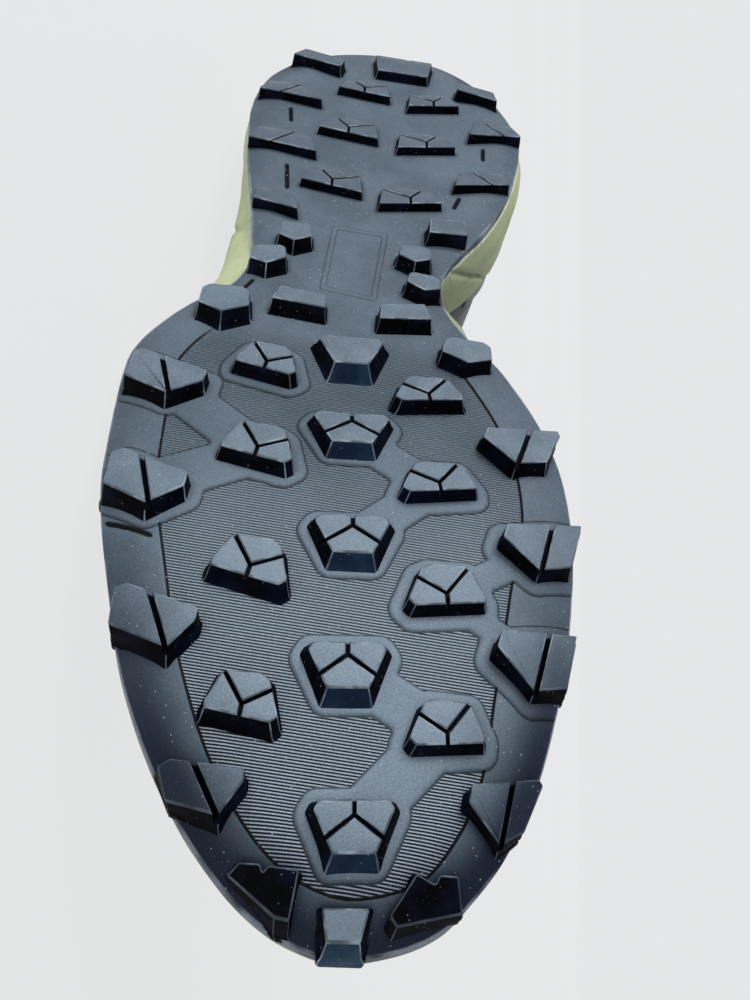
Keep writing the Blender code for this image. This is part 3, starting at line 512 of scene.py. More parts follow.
# %% Lug table
# Each block has a plan shape, its place as shares of length and width, its length and width against
# LUG_LONG and LUG_WIDE, its turn in degrees, 1 or -1 for its side of the middle, its sipe, the plate
# under it (1 raised, 0.3 low, 0 none) and its height against LUG_HEIGHT.
Lug = namedtuple("Lug", "name shape along across long wide turn side sipe plate tall", defaults=(1.0,))
LUGS = [
    Lug("H1", "bar", 0.062, 0.305, 0.62, 0.96, 22, 1, "", 0.0, 0.76),
    Lug("H2", "plate", 0.056, -0.014, 1.10, 1.04, 2, 1, "", 0.0, 0.70),
    Lug("H3", "bar", 0.092, -0.300, 0.60, 0.76, 3, -1, "", 0.0, 0.76),
    Lug("H4", "heel_outer", 0.134, 0.396, 1.20, 1.10, -2, 1, "slant", 0.3, 0.70),
    Lug("H7", "heel_outer", 0.162, -0.362, 1.18, 0.94, -1, -1, "slant", 0.3, 0.70),
    Lug("H5", "heel_inner", 0.112, 0.128, 1.00, 0.92, -2, 1, "fork", 0.3, 0.70),
    Lug("H6", "heel_inner", 0.122, -0.132, 0.96, 0.92, -3, -1, "fork", 0.3, 0.70),
    Lug("H8", "heel_outer", 0.226, 0.396, 1.30, 1.14, -2, 1, "slant", 0.3, 0.70),
    Lug("H11", "heel_outer", 0.254, -0.312, 1.16, 1.00, -2, -1, "slant", 0.3, 0.70),
    Lug("H9", "heel_inner", 0.191, 0.171, 1.12, 1.02, -1, 1, "fork", 0.3, 0.70),
    Lug("H10", "heel_inner", 0.200, -0.109, 1.06, 1.00, -3, -1, "fork", 0.3, 0.70),
    Lug("H12", "heel_outer", 0.327, 0.390, 1.18, 0.80, -1, 1, "", 0.3, 0.76),
    Lug("H13", "heel_inner", 0.285, 0.208, 1.12, 1.00, 0, 1, "fork", 0.3, 0.70),
    Lug("H14", "heel_inner", 0.299, -0.060, 1.04, 1.02, -3, -1, "fork", 0.3, 0.70),
    Lug("W1", "chevron", 0.383, 0.286, 0.76, 0.50, 0, 1, "", 0.0),
    Lug("W2", "chevron", 0.419, 0.338, 0.76, 0.54, 0, 1, "", 0.3),
    Lug("W3", "bar", 0.347, -0.186, 0.68, 0.66, -5, -1, "", 0.0),
    Lug("W4", "chevron", 0.394, -0.074, 0.66, 0.50, 0, -1, "", 0.0),
    Lug("W5", "chevron", 0.432, -0.098, 0.64, 0.52, 0, -1, "", 0.0),
    Lug("W6", "bar", 0.472, 0.220, 0.54, 0.78, 4, 1, "", 0.0),
    Lug("W7", "bar", 0.475, -0.046, 0.62, 0.76, -6, -1, "", 0.0),
    Lug("W8", "chevron", 0.486, 0.398, 1.02, 0.72, 0, 1, "", 0.0),
    Lug("RO1", "chevron", 0.516, -0.196, 0.86, 0.72, 0, -1, "", 0.0),
    Lug("C1", "centre", 0.532, 0.076, 0.92, 0.88, -3, 1, "", 0.0),
    Lug("C2", "centre", 0.620, 0.061, 0.90, 0.98, -4, 1, "fork", 1.0),
    Lug("C3", "centre", 0.721, 0.042, 0.92, 0.92, -4, 1, "fork", 1.0),
    Lug("C4", "centre", 0.822, 0.031, 0.94, 0.90, -5, 1, "fork", 1.0),
    Lug("C5", "centre", 0.925, -0.006, 0.92, 0.88, -5, 1, "fork", 1.0, 0.9),
    Lug("F1", "inner", 0.552, 0.262, 0.94, 0.84, 4, 1, "fork", 1.0),
    Lug("F3", "inner", 0.645, 0.254, 1.04, 0.92, 3, 1, "fork", 1.0),
    Lug("F5", "inner", 0.750, 0.236, 1.02, 0.92, 4, 1, "fork", 0.0),
    Lug("F7", "inner", 0.850, 0.220, 0.96, 0.82, -1, 1, "fork", 0.0),
    Lug("R1", "inner", 0.568, -0.104, 0.84, 0.92, -3, -1, "fork", 0.0),
    Lug("R2", "inner", 0.661, -0.130, 0.88, 0.94, -4, -1, "fork", 1.0),
    Lug("R3", "inner", 0.756, -0.152, 1.00, 0.92, -1, -1, "fork", 1.0),
    Lug("R4", "inner", 0.856, -0.164, 0.94, 0.84, 1, -1, "fork", 1.0),
    Lug("F2", "outer", 0.582, 0.476, 1.34, 1.06, 2, 1, "slant", 1.0),
    Lug("F4", "outer", 0.690, 0.469, 1.38, 1.00, 1, 1, "slant", 1.0),
    Lug("F6", "outer_toe", 0.800, 0.410, 1.26, 1.04, 3, 1, "slant", 0.0),
    Lug("F8", "outer_toe", 0.905, 0.280, 1.02, 0.98, -3, 1, "slant", 0.0, 0.85),
    Lug("RO2", "wing", 0.619, -0.315, 1.10, 1.06, -7, -1, "slant", 0.0),
    Lug("RO3", "wing", 0.714, -0.355, 1.16, 1.08, -10, -1, "slant", 1.0),
    Lug("RO4", "wing", 0.804, -0.344, 1.22, 1.10, -10, -1, "slant", 1.0),
    Lug("RO5", "wing", 0.903, -0.288, 1.00, 0.92, -16, -1, "slant", 0.0, 0.85),
    Lug("F9", "toe", 0.960, 0.150, 0.80, 0.76, 6, 1, "", 0.0, 0.62),
    Lug("RO6", "toe_medial", 0.957, -0.155, 0.96, 0.82, 2, -1, "", 0.0, 0.62),
    Lug("T", "tip", 0.976, -0.008, 0.48, 0.50, -3, 1, "", 0.0, 0.62),
]
print("lug table:", len(LUGS), "blocks")

# %% Sipes
Sipe = namedtuple("Sipe", "wide deep")
SIPE = {"fork": Sipe(0.80, 1.5), "slant": Sipe(1.10, 1.9), "hair": Sipe(0.60, 0.8)}
# Where a sipe starts and the places on the block's sides that it runs to, as shares of the block.
SIPES = {
    ("inner", "fork"): [(0.16, 0.0), (-0.44, 0.26), (-0.22, -0.46), (0.60, 0.03)],
    ("heel_inner", "fork"): [(0.10, 0.0), (-0.50, 0.22), (-0.22, -0.42), (0.60, 0.0)],
    ("centre", "fork"): [(-0.22, 0.0), (0.26, 0.40), (0.26, -0.40), (-0.60, 0.0)],
    ("outer", "slant"): [(-0.46, 0.13), (0.50, -0.10)],
    ("outer_toe", "slant"): [(-0.46, 0.10), (0.50, -0.23)],
    ("wing", "slant"): [(-0.50, 0.14), (0.50, -0.12)],
    ("heel_outer", "slant"): [(-0.42, -0.24), (0.42, 0.27)],
}
print("sipes:", ", ".join(f"{name} {sipe.wide} mm" for name, sipe in SIPE.items()))


# %% Where a block stands in plan
def lug_frame(lug):
    """Centre of a block in plan, with its directions to the toe and away from the middle."""
    x = lug.along * SOLE_LENGTH
    turn = math.radians(lug.turn)
    centre = np.array([x, lug.across * float(width_at(x))])
    ahead = np.array([math.cos(turn), math.sin(turn)])
    aside = np.array([-math.sin(turn), math.cos(turn)]) * lug.side
    return centre, ahead * lug.long * LUG_LONG, aside * lug.wide * LUG_WIDE


def pull_in(points, centre, over):
    """Move points to a centre until they stand at most so far over the tread's outline."""
    found = points.copy()
    done = np.zeros(len(points), bool)
    for k in range(21):
        tried = points + (centre - points) * k * 0.05
        fits = (depth(tried) >= -over) & ~done
        found[fits] = tried[fits]
        done |= fits
    return found


LUG_OVER, FOOT_OVER = 1.0, 0.8


def lug_corners(lug):
    """Corners of a block's ground face in plan."""
    centre, ahead, aside = lug_frame(lug)
    shape = list(SHAPES[lug.shape])
    if lug.shape == "plate":
        cut = NOTCH_DEPTH / (lug.long * LUG_LONG)
        shape = shape[:3] + [(-0.5, -0.12), (cut - 0.5, 0.0), (-0.5, 0.12)] + shape[3:]
    corners = np.array([centre + u * ahead + v * aside for u, v in shape])
    return pull_in(corners, centre, LUG_OVER * float(blend(0.0, 1.0, (lug.along - 0.40) / 0.12)))


CORNERS = {lug.name: lug_corners(lug) for lug in LUGS}
print("corners:", sum(len(corners) for corners in CORNERS.values()))


# %% Raise a block from its outline
CORNER_ROUND, EDGE_ROUND, NARROW = 0.45, 0.28, 0.3


def flat_block(corners, cuts, low, high):
    """A block raised from its outline about (0, 0) and cut back by planes, with the rim of its ground face for
    edging.
    """
    bm = bmesh.new()
    pale_mark = bm.faces.layers.int.new("pale_mark")
    face = bm.faces.new([bm.verts.new((x, y, low)) for x, y in corners])
    short = min(e.calc_length() for e in bm.edges)
    bmesh.ops.bevel(bm, geom=bm.verts[:], offset=min(CORNER_ROUND, short * 0.28), segments=3, profile=0.5,
                    affect="VERTICES", material=-1)
    for spot, away in cuts:
        bmesh.ops.bisect_plane(bm, geom=bm.verts[:] + bm.edges[:] + bm.faces[:], dist=1e-5,
                               plane_co=(*spot, 0.0), plane_no=(*away, 0.0), clear_outer=True)
    if not bm.faces:
        bm.free()
        return None
    base = bm.faces[:]
    up = bmesh.ops.extrude_face_region(bm, geom=base, use_keep_orig=True)["geom"]
    verts = [g for g in up if isinstance(g, bmesh.types.BMVert)]
    bmesh.ops.translate(bm, verts=verts, vec=(0, 0, high - low))
    top = [g for g in up if isinstance(g, bmesh.types.BMFace)]
    rim = list({e for f in top for e in f.edges if len([x for x in e.link_faces if x in top]) == 1})
    sides = [f for f in bm.faces if f not in top and f not in base]
    # Middle strips of the rounded corners are marked for the painted edge highlight.
    narrow = {f for f in sides if min(e.calc_length() for e in f.edges) < NARROW}
    for face in narrow:
        beside = {f for e in face.edges for f in e.link_faces if f is not face}
        face[pale_mark] = int(len(beside & narrow) == 2)
    return bm, rim


# %% Planes on both sides of a sipe
def sipe_of(lug):
    """The heel's sipes are no more than hairs, the others are real cuts."""
    return SIPE["hair" if lug.shape.startswith("heel") else lug.sipe]


def sipe_cuts(lug):
    """For each part that the sipes leave, the planes that bound it."""
    centre, ahead, aside = lug_frame(lug)
    line = SIPES.get((lug.shape, lug.sipe))
    if not line:
        return [[]]
    spots = [u * ahead + v * aside for u, v in line]
    half = sipe_of(lug).wide / 2
    quarter = lambda d: np.array([-d[1], d[0]]) / np.linalg.norm(d)
    if len(spots) == 2:
        across = quarter(spots[1] - spots[0])
        return [[(spots[0] - across * half, across)], [(spots[0] + across * half, -across)]]
    hub, ends = spots[0], spots[1:]
    ends.sort(key=lambda p: math.atan2(*(p - hub)[::-1]))
    parts = []
    for one, two in zip(ends, ends[1:] + ends[:1]):
        left, right = quarter(one - hub), quarter(two - hub)
        parts.append([(hub + left * half, -left), (hub - right * half, right)])
    return parts


# %% Bend a block onto the sole
# Some blocks flare more to their foot. The toe side leans forward, more on the lateral blocks. The
# heel's blocks are ramps that fall to the back.
DRAFT_OF = {"centre": 3.4, "inner": 2.0, "tip": 2.2}
FRONT_LEAN, FRONT_TILT, HEEL_RAMP = 1.1, 2.1, 0.42
TIP_LEAN, TIP_ROOT = 1.5, -2.4
FOOT_FLARE, FOOT_SHARE = 0.45, 0.25


def spread(rise, shape):
    """How far a block's side stands out from its ground face, by its share of the height."""
    rise = np.clip(rise, 0.0, 1.0)
    foot = FOOT_FLARE * np.maximum(0.0, 1.0 - rise / FOOT_SHARE) ** 2
    return LUG_DRAFT * DRAFT_OF.get(shape, 1.0) * (1.0 - rise) + foot


def bend_onto_sole(bm, lug):
    """Move a flat block, with its height as z, to its place under the tread."""
    centre, ahead, aside = lug_frame(lug)
    tall = LUG_HEIGHT * lug.tall
    flat = np.array([v.co[:] for v in bm.verts])
    plan, rise = flat[:, :2], flat[:, 2] / tall
    half = np.linalg.norm(ahead) / 2
    lead = plan @ (ahead / (2 * half)) / half
    heel = blend(1.0, 0.0, (lug.along - 0.34) / 0.12)
    lean = (FRONT_LEAN + FRONT_TILT * lug.across) * (1.0 - 0.9 * heel)
    if lug.shape in ("tip", "inner"):
        lean = TIP_LEAN if lug.shape == "tip" else lean - 0.6
    away = plan / np.maximum(np.linalg.norm(plan, axis=1, keepdims=True), 1e-6)
    foot = plan + away * spread(rise, lug.shape)[:, None]
    lean = lean * blend(0.0, 1.0, lead / 0.5) * (1.0 - np.clip(rise, 0.0, 1.0))
    foot = foot + lean[:, None] * ahead / (2 * half)
    plan = centre + foot if lug.shape == "tip" else pull_in(centre + foot, centre, FOOT_OVER * (1.0 - heel))
    reach = LUG_LONG / 2
    probe = centre + np.array([[0, 0], [reach, 0], [-reach, 0], [0, reach], [0, -reach]])
    base, fore, aft, left, right = tread(probe)
    ground = base - tall + (plan - centre) @ np.array([fore - aft, left - right]) / (2 * reach)
    up = tread(plan)
    if lug.shape.startswith("heel"):
        rise = np.where(rise > 0, rise * (1.0 - HEEL_RAMP * blend(1.0, 0.0, (lead + 1.0) / 1.1)), rise)
    z = np.where(rise > 0, up + (ground - up) * rise, up - rise * tall)
    layers = [bm.verts.layers.float.new(name) for name in ("lead", "edge", "along")]
    inset = depth(plan) + (25.0 if lug.shape == "tip" else 0.0)
    values = np.column_stack([lead + (1.0 - heel) * 4.0, inset, plan[:, 0] / SOLE_LENGTH])
    for vert, spot, numbers in zip(bm.verts, np.column_stack([plan, z]).tolist(), values.tolist()):
        vert.co = spot
        for layer, number in zip(layers, numbers):
            vert[layer] = number


# %% Which rubber each face shows
GROUND, WALL_SIDE, LIT_FRONT, TIP_SIDE, EDGED = 0, 1, 2, 3, 4
# Face marks for the painted edge highlight: corner strips and the bevel round the ground face.
CORNER, GROUND_EDGE = 1, 2


def give_finishes(bm, lug, is_root):
    """Number a block's faces by finish: where it treads, where it stands, and where its edges carry a painted
    highlight.
    """
    ahead = lug_frame(lug)[1]
    toward_toe = Vector((*(ahead / np.linalg.norm(ahead)), 0.0))
    pale_mark = bm.faces.layers.int["pale_mark"]
    # The centre lugs' toe-facing walls take a painted-lit copy of the wall rubber.
    front = {"centre": LIT_FRONT, "tip": TIP_SIDE}.get(lug.shape, WALL_SIDE)
    # The toe blocks' treading faces take the dark wall rubber, as painted shade on the turned-up toe.
    ground = WALL_SIDE if lug.shape.startswith("toe") else GROUND
    for face in bm.faces:
        turned = face.normal.dot(toward_toe)
        face.material_index = front if turned > 0.6 else WALL_SIDE
        if face.normal.z > 0.55 and not is_root:
            face.material_index = ground
        # Edge faces get the painted highlight; corner strips and the heel blocks' edges only where they face the toe.
        lit_only = face[pale_mark] == CORNER or lug.shape.startswith("heel")
        if face[pale_mark] and (turned > 0.2 or not lit_only):
            face.material_index = EDGED


# %% Make the blocks
BLOCK_ROOT = -1.5
RINGS = (0.0, 0.25, 0.6, 1.1)


def make_lug(lug):
    """One block: a root with the parts that its sipes leave standing on it."""
    corners = CORNERS[lug.name] - lug_frame(lug)[0]
    tall = LUG_HEIGHT * lug.tall
    cuts = sipe_cuts(lug)
    split = len(cuts) > 1
    root = TIP_ROOT if lug.shape == "tip" else BLOCK_ROOT
    base = tall - min(sipe_of(lug).deep, tall * 0.55) if split else root
    made = []
    if split:
        made.append(flat_block(corners, [], root, base)[0])
    for planes in cuts:
        block = flat_block(corners, planes, base, tall)
        if block:
            # The bevel's faces are marked for the painted edge highlight.
            edged = bmesh.ops.bevel(block[0], geom=block[1], offset=EDGE_ROUND, segments=2, profile=0.5,
                                    affect="EDGES", material=-1)
            for face in edged["faces"]:
                face[block[0].faces.layers.int["pale_mark"]] = GROUND_EDGE
            made.append(block[0])
    for number, bm in enumerate(made):
        for level in RINGS:
            bmesh.ops.bisect_plane(bm, geom=bm.verts[:] + bm.edges[:] + bm.faces[:], dist=1e-5,
                                   plane_co=(0, 0, level), plane_no=(0, 0, 1))
        bmesh.ops.recalc_face_normals(bm, faces=bm.faces)
        give_finishes(bm, lug, split and number == 0)
        bend_onto_sole(bm, lug)
    return join(made[0], *made[1:])


lug_mesh = bmesh.new()
for lug in LUGS:
    join(lug_mesh, make_lug(lug))
print("lugs:", len(LUGS), "blocks,", len(lug_mesh.faces), "faces")

# %% [markdown]
# ## The rubber sheet between the lugs
# The sheet carries a low relief: raised plates round some lugs, smooth strips that tie plates
# together, a smooth band round the edge behind a thin groove, and ribs finer than a millimetre
# inside it. The relief that has height goes into the mesh. The ribs and the hair lines are narrower
# than a mesh cell, so the vertices only carry their distances and the material draws them, with
# painted shade in the hollows and painted highlight on the rib crests.

# %% Strips, groove, nicks and panel
Strip = namedtuple("Strip", "one two wide")
STRIPS = [
    Strip("F2", "F3", 11.0), Strip("F4", "F3", 11.5), Strip("C2", "R2", 9.0), Strip("R2", "C3", 9.0),
    Strip("R3", "RO3", 6.5), Strip("R3", "RO4", 5.5), Strip("C4", "R4", 9.5), Strip("R4", "C5", 10.5),
]
Groove = namedtuple("Groove", "along lateral medial")
GROOVE = [
    Groove(0.48, 12.0, 11.0), Groove(0.56, 12.4, 11.6), Groove(0.68, 12.4, 12.0), Groove(0.75, 12.4, 14.4),
    Groove(0.83, 11.6, 14.0), Groove(0.89, 9.8, 11.0), Groove(0.94, 8.5, 8.6), Groove(1.00, 8.4, 8.4),
]
Nick = namedtuple("Nick", "x0 y0 x1 y1")
NICKS = [
    Nick(46.8, 33.4, 53.4, 32.7), Nick(76.7, 31.8, 88.0, 30.7), Nick(55.7, -27.7, 61.2, -27.6),
    Nick(82.9, -20.0, 87.6, -18.5), Nick(213.4, 58.4, 216.3, 48.4), Nick(130.2, 36.0, 136.0, 39.0),
]
PANEL = np.array([(104.1, 15.6), (104.8, 1.3), (132.4, 3.4), (130.4, 17.2), (104.1, 15.6)])
print("relief:", len(STRIPS), "strips,", len(NICKS), "nicks")

# %% Distances that the sheet carries
PLATE_MARGIN, LOW_MARGIN = 3.4, 2.8
LUG_REACH, FAR = 34.0, 30.0
SHEET_ROWS, SHEET_COLUMNS = 390, 190

share = np.linspace(0.0, 1.0, SHEET_COLUMNS + 1)[None, :, None]
left, right = outline_side("lateral", SHEET_ROWS), outline_side("medial", SHEET_ROWS)
plan = left[:, None] * (1 - share) + right[:, None] * share
edge = distance(plan, EDGE)
along = plan[..., 0] / SOLE_LENGTH


def to_lug(points, name):
    """Distance to a block's ground outline, nothing within it."""
    ring = np.concatenate([CORNERS[name], CORNERS[name][:1]])
    return np.where(inside(points, ring), 0.0, distance(points, ring))


raised = np.full(edge.shape, -FAR)
soft = np.full(edge.shape, -FAR)
foot = np.full(edge.shape, FAR)
for lug in LUGS:
    near = np.linalg.norm(plan - lug_frame(lug)[0], axis=-1) < LUG_REACH
    gap = to_lug(plan[near], lug.name)
    foot[near] = np.minimum(foot[near], gap)
    if lug.plate == 1.0:
        raised[near] = np.maximum(raised[near], PLATE_MARGIN - gap)
    elif lug.plate:
        soft[near] = np.maximum(soft[near], LOW_MARGIN - gap)
for strip in STRIPS:
    ends = np.array([CORNERS[strip.one].mean(0), CORNERS[strip.two].mean(0)])
    raised = np.maximum(raised, strip.wide / 2 - distance(plan, ends))

middle = (left + right)[:, 1][:, None] / 2
is_left = plan[..., 1] > middle
band = edge - np.where(is_left, curve(GROOVE, "lateral")(along), curve(GROOVE, "medial")(along))
nick = np.full(edge.shape, FAR)
for n in NICKS:
    nick = np.minimum(nick, distance(plan, np.array([(n.x0, n.y0), (n.x1, n.y1)])))
panel = distance(plan, PANEL)
print("sheet:", edge.size, "points, up to", round(float(edge.max()), 1), "mm from the edge")

# %% Relief of the sheet
PLATE_HIGH, SOFT_HIGH, BAND_HIGH, LINE_HIGH, NICK_DEEP = 0.65, 0.28, 0.3, 0.28, 0.5
BAND_FROM, BAND_OVER = 148.0, 8.0
front = blend(0.0, 1.0, (plan[..., 0] - BAND_FROM) / BAND_OVER)
relief = PLATE_HIGH * blend(0.0, 1.0, raised / 1.2 + 0.5)
relief = np.maximum(relief, SOFT_HIGH * blend(0.0, 1.0, soft / 1.0 + 0.5))
relief = np.maximum(relief, BAND_HIGH * front * blend(0.0, 1.0, 0.5 - band / 1.4))
relief = relief + LINE_HIGH * blend(1.0, 0.0, panel / 0.8 - 0.2) - NICK_DEEP * blend(1.0, 0.0, nick / 1.2)
print("relief up to", round(float(relief.max()), 2), "mm")

# %% Ribs and the sheet's two skins
RIB_PITCH, RIB_LEAN, RIB_CROWD, CROWD_FROM = 0.71, 0.065, 0.0014, 200.0
base = tread(plan)
ribs = (plan[..., 0] + RIB_LEAN * plan[..., 1]) / RIB_PITCH
ribs = ribs + RIB_CROWD * np.maximum(plan[..., 0] - CROWD_FROM, 0.0) ** 2
lower = grid(np.dstack([plan, base - relief]), {
    "raised": raised, "band": band, "edge": edge, "foot": foot, "nick": nick, "panel": panel,
    "along": along, "rib": ribs,
})
steps = np.linspace(0, SHEET_COLUMNS, 11).astype(int)
upper_plan = plan[:, steps]
upper_rise = np.where(edge[:, steps] < 1e-6, RUBBER_EDGE, RUBBER)
upper = grid(np.dstack([upper_plan, base[:, steps] + upper_rise]))
for bm in (lower, upper):
    bmesh.ops.remove_doubles(bm, verts=bm.verts, dist=0.01)
sheet_mesh = join(lower, upper)
rims = [e for e in sheet_mesh.edges if e.is_boundary]
bmesh.ops.bridge_loops(sheet_mesh, edges=rims)
print("sheet edge:", len(rims), "edges bridged")

# %% [markdown]
# ## Rubber
# Moulded rubber is nearly black where the mould polished it, and turns slate grey where it has been
# walked on and dusted. So the lugs' ground faces and the sheet are the greyer finish, and the lugs'
# sides stay dark, darker still as painted shade; the centre lugs' fronts take a painted-lit copy.
# Their edges carry a painted highlight here and there. Painted shade also darkens the toe's turned-up
# edge, the heel's rim, the sheet's perimeter, the lugs' feet and the hollows of the relief, and a
# painted pool of light pales the middle of the forefoot. A fine grain roughens the light, and pale
# specks of dust lie over it. One picture painted over the whole sole could do this too, but formulas
# on the marks stay sharp from any distance.

# %% Rubber colours, wear and painted light
# The pale slate is the colour of the painted pool of light on the forefoot.
SLATE, SLATE_DEEP, SLATE_LIT = (0.094, 0.124, 0.157), (0.068, 0.092, 0.118), (0.156, 0.202, 0.250)
# The third colour is the painted-lit blue of the lugs' toe-facing fronts.
NAVY, BLACK, LIT_FRONT_BLUE = (0.003, 0.006, 0.019), (0.0005, 0.0007, 0.0016), (0.014, 0.034, 0.068)
# The dust colour also paints the highlight on the heel blocks' rear slopes.
DUST_AND_HIGHLIGHT = (0.42, 0.46, 0.50)


def dusty(finish, colour, amount=1.0):
    """Pale specks of dust on a colour."""
    cells = finish.specks(1.7)
    rare = finish.noise(9.0, 2.0).step(0.40, 0.60)
    speck = (1.0 - cells.step(0.05, 0.12)) * rare * amount
    fine = (1.0 - finish.specks(0.8).step(0.04, 0.10)) * finish.noise(21.0, 2.0).step(0.38, 0.62) * amount
    return finish.mix((speck * 0.75).most(fine * 0.5), colour, DUST_AND_HIGHLIGHT)


def toe_shade(finish):
    """Painted shade on the turned-up edge round the toe, which faces away from the light."""
    return (1.0 - finish.mark("edge").step(2.0, 13.5)) * finish.mark("along").step(0.68, 0.90)


def lit_forefoot(finish):
    """Painted pool of light: the middle of the forefoot made paler, where the light falls most."""
    return finish.mark("edge").step(7.0, 26.0) * finish.mark("along").step(0.58, 0.80)


def grainy(finish, colour):
    """Mould grain and fine dirt: every half millimetre a bit darker or lighter."""
    return finish.shade(colour, finish.noise(0.32, 2.0).step(0.25, 0.75) * 0.40 + 0.80)


# %% Rubber of the sheet
def sheet_rubber():
    """Slate rubber with the ribs, the groove, the nicks and the panel's frame drawn on it in painted shade and
    highlight.
    """
    finish = Finish("sheet_rubber", Specular_IOR_Level=0.10)
    cloud = finish.noise(16.0, 4.0).step(0.30, 0.70)
    # Painted pool of light: the middle of the forefoot mixes toward the pale slate.
    colour = finish.mix(lit_forefoot(finish), finish.mix(cloud, SLATE_DEEP, SLATE), SLATE_LIT)
    raised, band, along = finish.mark("raised"), finish.mark("band"), finish.mark("along")
    front = along.step(0.500, 0.527)
    toe = along.step(0.60, 0.90)
    ribbed = front * band.step(0.05, 0.30) * (1.0 - raised.step(-0.75, -0.45))
    rib = (finish.mark("rib") * (2 * math.pi)).sine() * 0.5 + 0.5
    valley = rib.step(0.42, 0.66) * ribbed
    # Painted highlight on the rib crests, stronger toward the toe.
    ridge = (1.0 - rib.step(0.25, 0.50)) * ribbed
    colour = finish.mix(ridge * (toe * 0.80 + 0.12), colour, (0.270, 0.325, 0.385))
    line = (1.0 - band.size().step(0.16, 0.36)) * front * (1.0 - raised.step(-0.3, 0.0))
    outline = (1.0 - (raised + 0.42).size().step(0.08, 0.30)) * along.step(0.46, 0.52)
    cut = 1.0 - finish.mark("nick").step(0.40, 0.75)
    frame_line = 1.0 - (finish.mark("panel") - 0.75).size().step(0.06, 0.22)
    # Painted shade: the sheet darkens toward navy near its perimeter, where it turns away from the light.
    rim = 1.0 - finish.mark("edge").step(0.5, 9.0)
    colour = finish.mix(rim * 0.14, colour, NAVY)
    # Painted shade on the toe's turned-up edge.
    colour = finish.mix(toe_shade(finish) * 0.92, colour, NAVY)
    # Painted shade on the heel's rim behind the lugs.
    heel = (1.0 - along.step(0.03, 0.12)) * (1.0 - finish.mark("edge").step(3.0, 12.0))
    colour = finish.mix(heel * 0.9, colour, NAVY)
    # Painted shade: the groove, the nicks, the rib valleys and the feet of the plates and the panel's frame are drawn
    # black.
    dark = line.most(cut).most(outline * 0.70).most(frame_line * 0.45).most(valley * (toe * 0.42 + 0.55))
    colour = finish.mix(dark, colour, BLACK)
    # Painted shade round the foot of each lug.
    near = 1.0 - finish.mark("foot").step(0.4, 2.2)
    colour = finish.mix(near * 0.35, colour, NAVY)
    # Painted highlight: a pale line along the sheet's outer edge.
    lip = (1.0 - finish.mark("edge").step(0.15, 0.5)) * finish.noise(12.0, 2.0).step(0.35, 0.6)
    colour = finish.mix(lip * 0.55, colour, (0.30, 0.34, 0.39))
    grain = finish.noise(0.35, 2.0)
    plate = raised.step(-0.45, 0.25)
    relief = grain * 0.035 - valley * 0.22 - line * 0.3 - cut * 0.25 + plate * 0.30
    return finish.finish(dusty(finish, grainy(finish, colour)), grain * 0.2 + 0.44, relief)


# %% Rubber of the lugs
def ground_rubber():
    """The faces that tread on the ground, with a painted pool of light on the middle of the forefoot, painted shade
    at the toe and a painted highlight on the heel blocks' rear slopes.
    """
    finish = Finish("ground_rubber", Specular_IOR_Level=0.14)
    cloud = finish.noise(7.0, 4.0).step(0.3, 0.7)
    colour = finish.mix(cloud, (0.096, 0.127, 0.160), (0.122, 0.160, 0.202))
    # Painted pool of light on the middle of the forefoot.
    colour = finish.mix(lit_forefoot(finish) * 0.9, colour, (0.168, 0.216, 0.266))
    # Painted shade on the toe's turned-up edge.
    colour = finish.mix(toe_shade(finish) * 0.92, colour, NAVY)
    colour = finish.mix((1.0 - finish.mark("along").step(0.30, 0.44)) * 0.32, colour, NAVY)
    # Painted highlight on the rounded rear slopes of the heel's blocks, in the dust colour.
    rubbed = (1.0 - finish.mark("lead").step(-1.1, -0.45)) * finish.noise(2.5, 3.0).step(0.35, 0.65)
    colour = finish.mix(rubbed * 0.22, colour, DUST_AND_HIGHLIGHT)
    grain = finish.noise(0.3, 2.0)
    return finish.finish(dusty(finish, grainy(finish, colour), 0.8), grain * 0.2 + 0.44, grain * 0.035)


def edge_rubber():
    """Painted highlight on the edges, patchy here and there."""
    finish = Finish("edge_rubber", Specular_IOR_Level=0.3)
    patch = finish.noise(5.0, 3.0).step(0.42, 0.70)
    colour = finish.mix(patch, (0.060, 0.080, 0.102), (0.230, 0.285, 0.340))
    grain = finish.noise(0.3, 2.0)
    # Painted shade on the toe's turned-up edge.
    colour = finish.mix(toe_shade(finish) * 0.75, colour, NAVY)
    return finish.finish(colour, grain * 0.2 + 0.44, grain * 0.03)


def wall_rubber(name, deep, light):
    """The sides of the lugs: black from the mould, and darker still as painted shade."""
    finish = Finish(name, Specular_IOR_Level=0.04)
    cloud = finish.noise(6.0, 2.0).step(0.35, 0.85)
    colour = finish.mix(cloud, deep, light)
    grain = finish.noise(0.4, 2.0)
    return finish.finish(dusty(finish, colour, 0.5), grain * 0.2 + 0.45, grain * 0.03)


# The order is that of the face numbers from GROUND to EDGED; the third is a painted-lit copy of the wall rubber.
RUBBERS = [
    ground_rubber(), wall_rubber("wall_rubber", BLACK, NAVY),
    wall_rubber("lit_front_rubber", (0.006, 0.014, 0.034), LIT_FRONT_BLUE),
    wall_rubber("tip_rubber", LIT_FRONT_BLUE, (0.050, 0.085, 0.115)), edge_rubber(),
]
print("rubbers:", ", ".join(rubber.name for rubber in RUBBERS))

# %% Outsole
piece(sheet_mesh, "outsole_sheet", [sheet_rubber()], "outsole", sharp=50.0)
piece(lug_mesh, "outsole_lugs", RUBBERS, "outsole", sharp=32.0, merge=0.0, turn=False)

# %% [markdown]
# ## Rings round the shoe
# Foam, upper, insole and overlays all follow the same closed ring: out along the lateral side, back
# along the medial side. Each ring point knows its outward direction and its share of the length, so
# one formula in whole arrays makes every piece. A piece that closes on itself is a grid whose columns
# go once round the cross-section; where the columns meet, and where the rows shrink to a line at heel
# and toe, merging the doubles closes it.

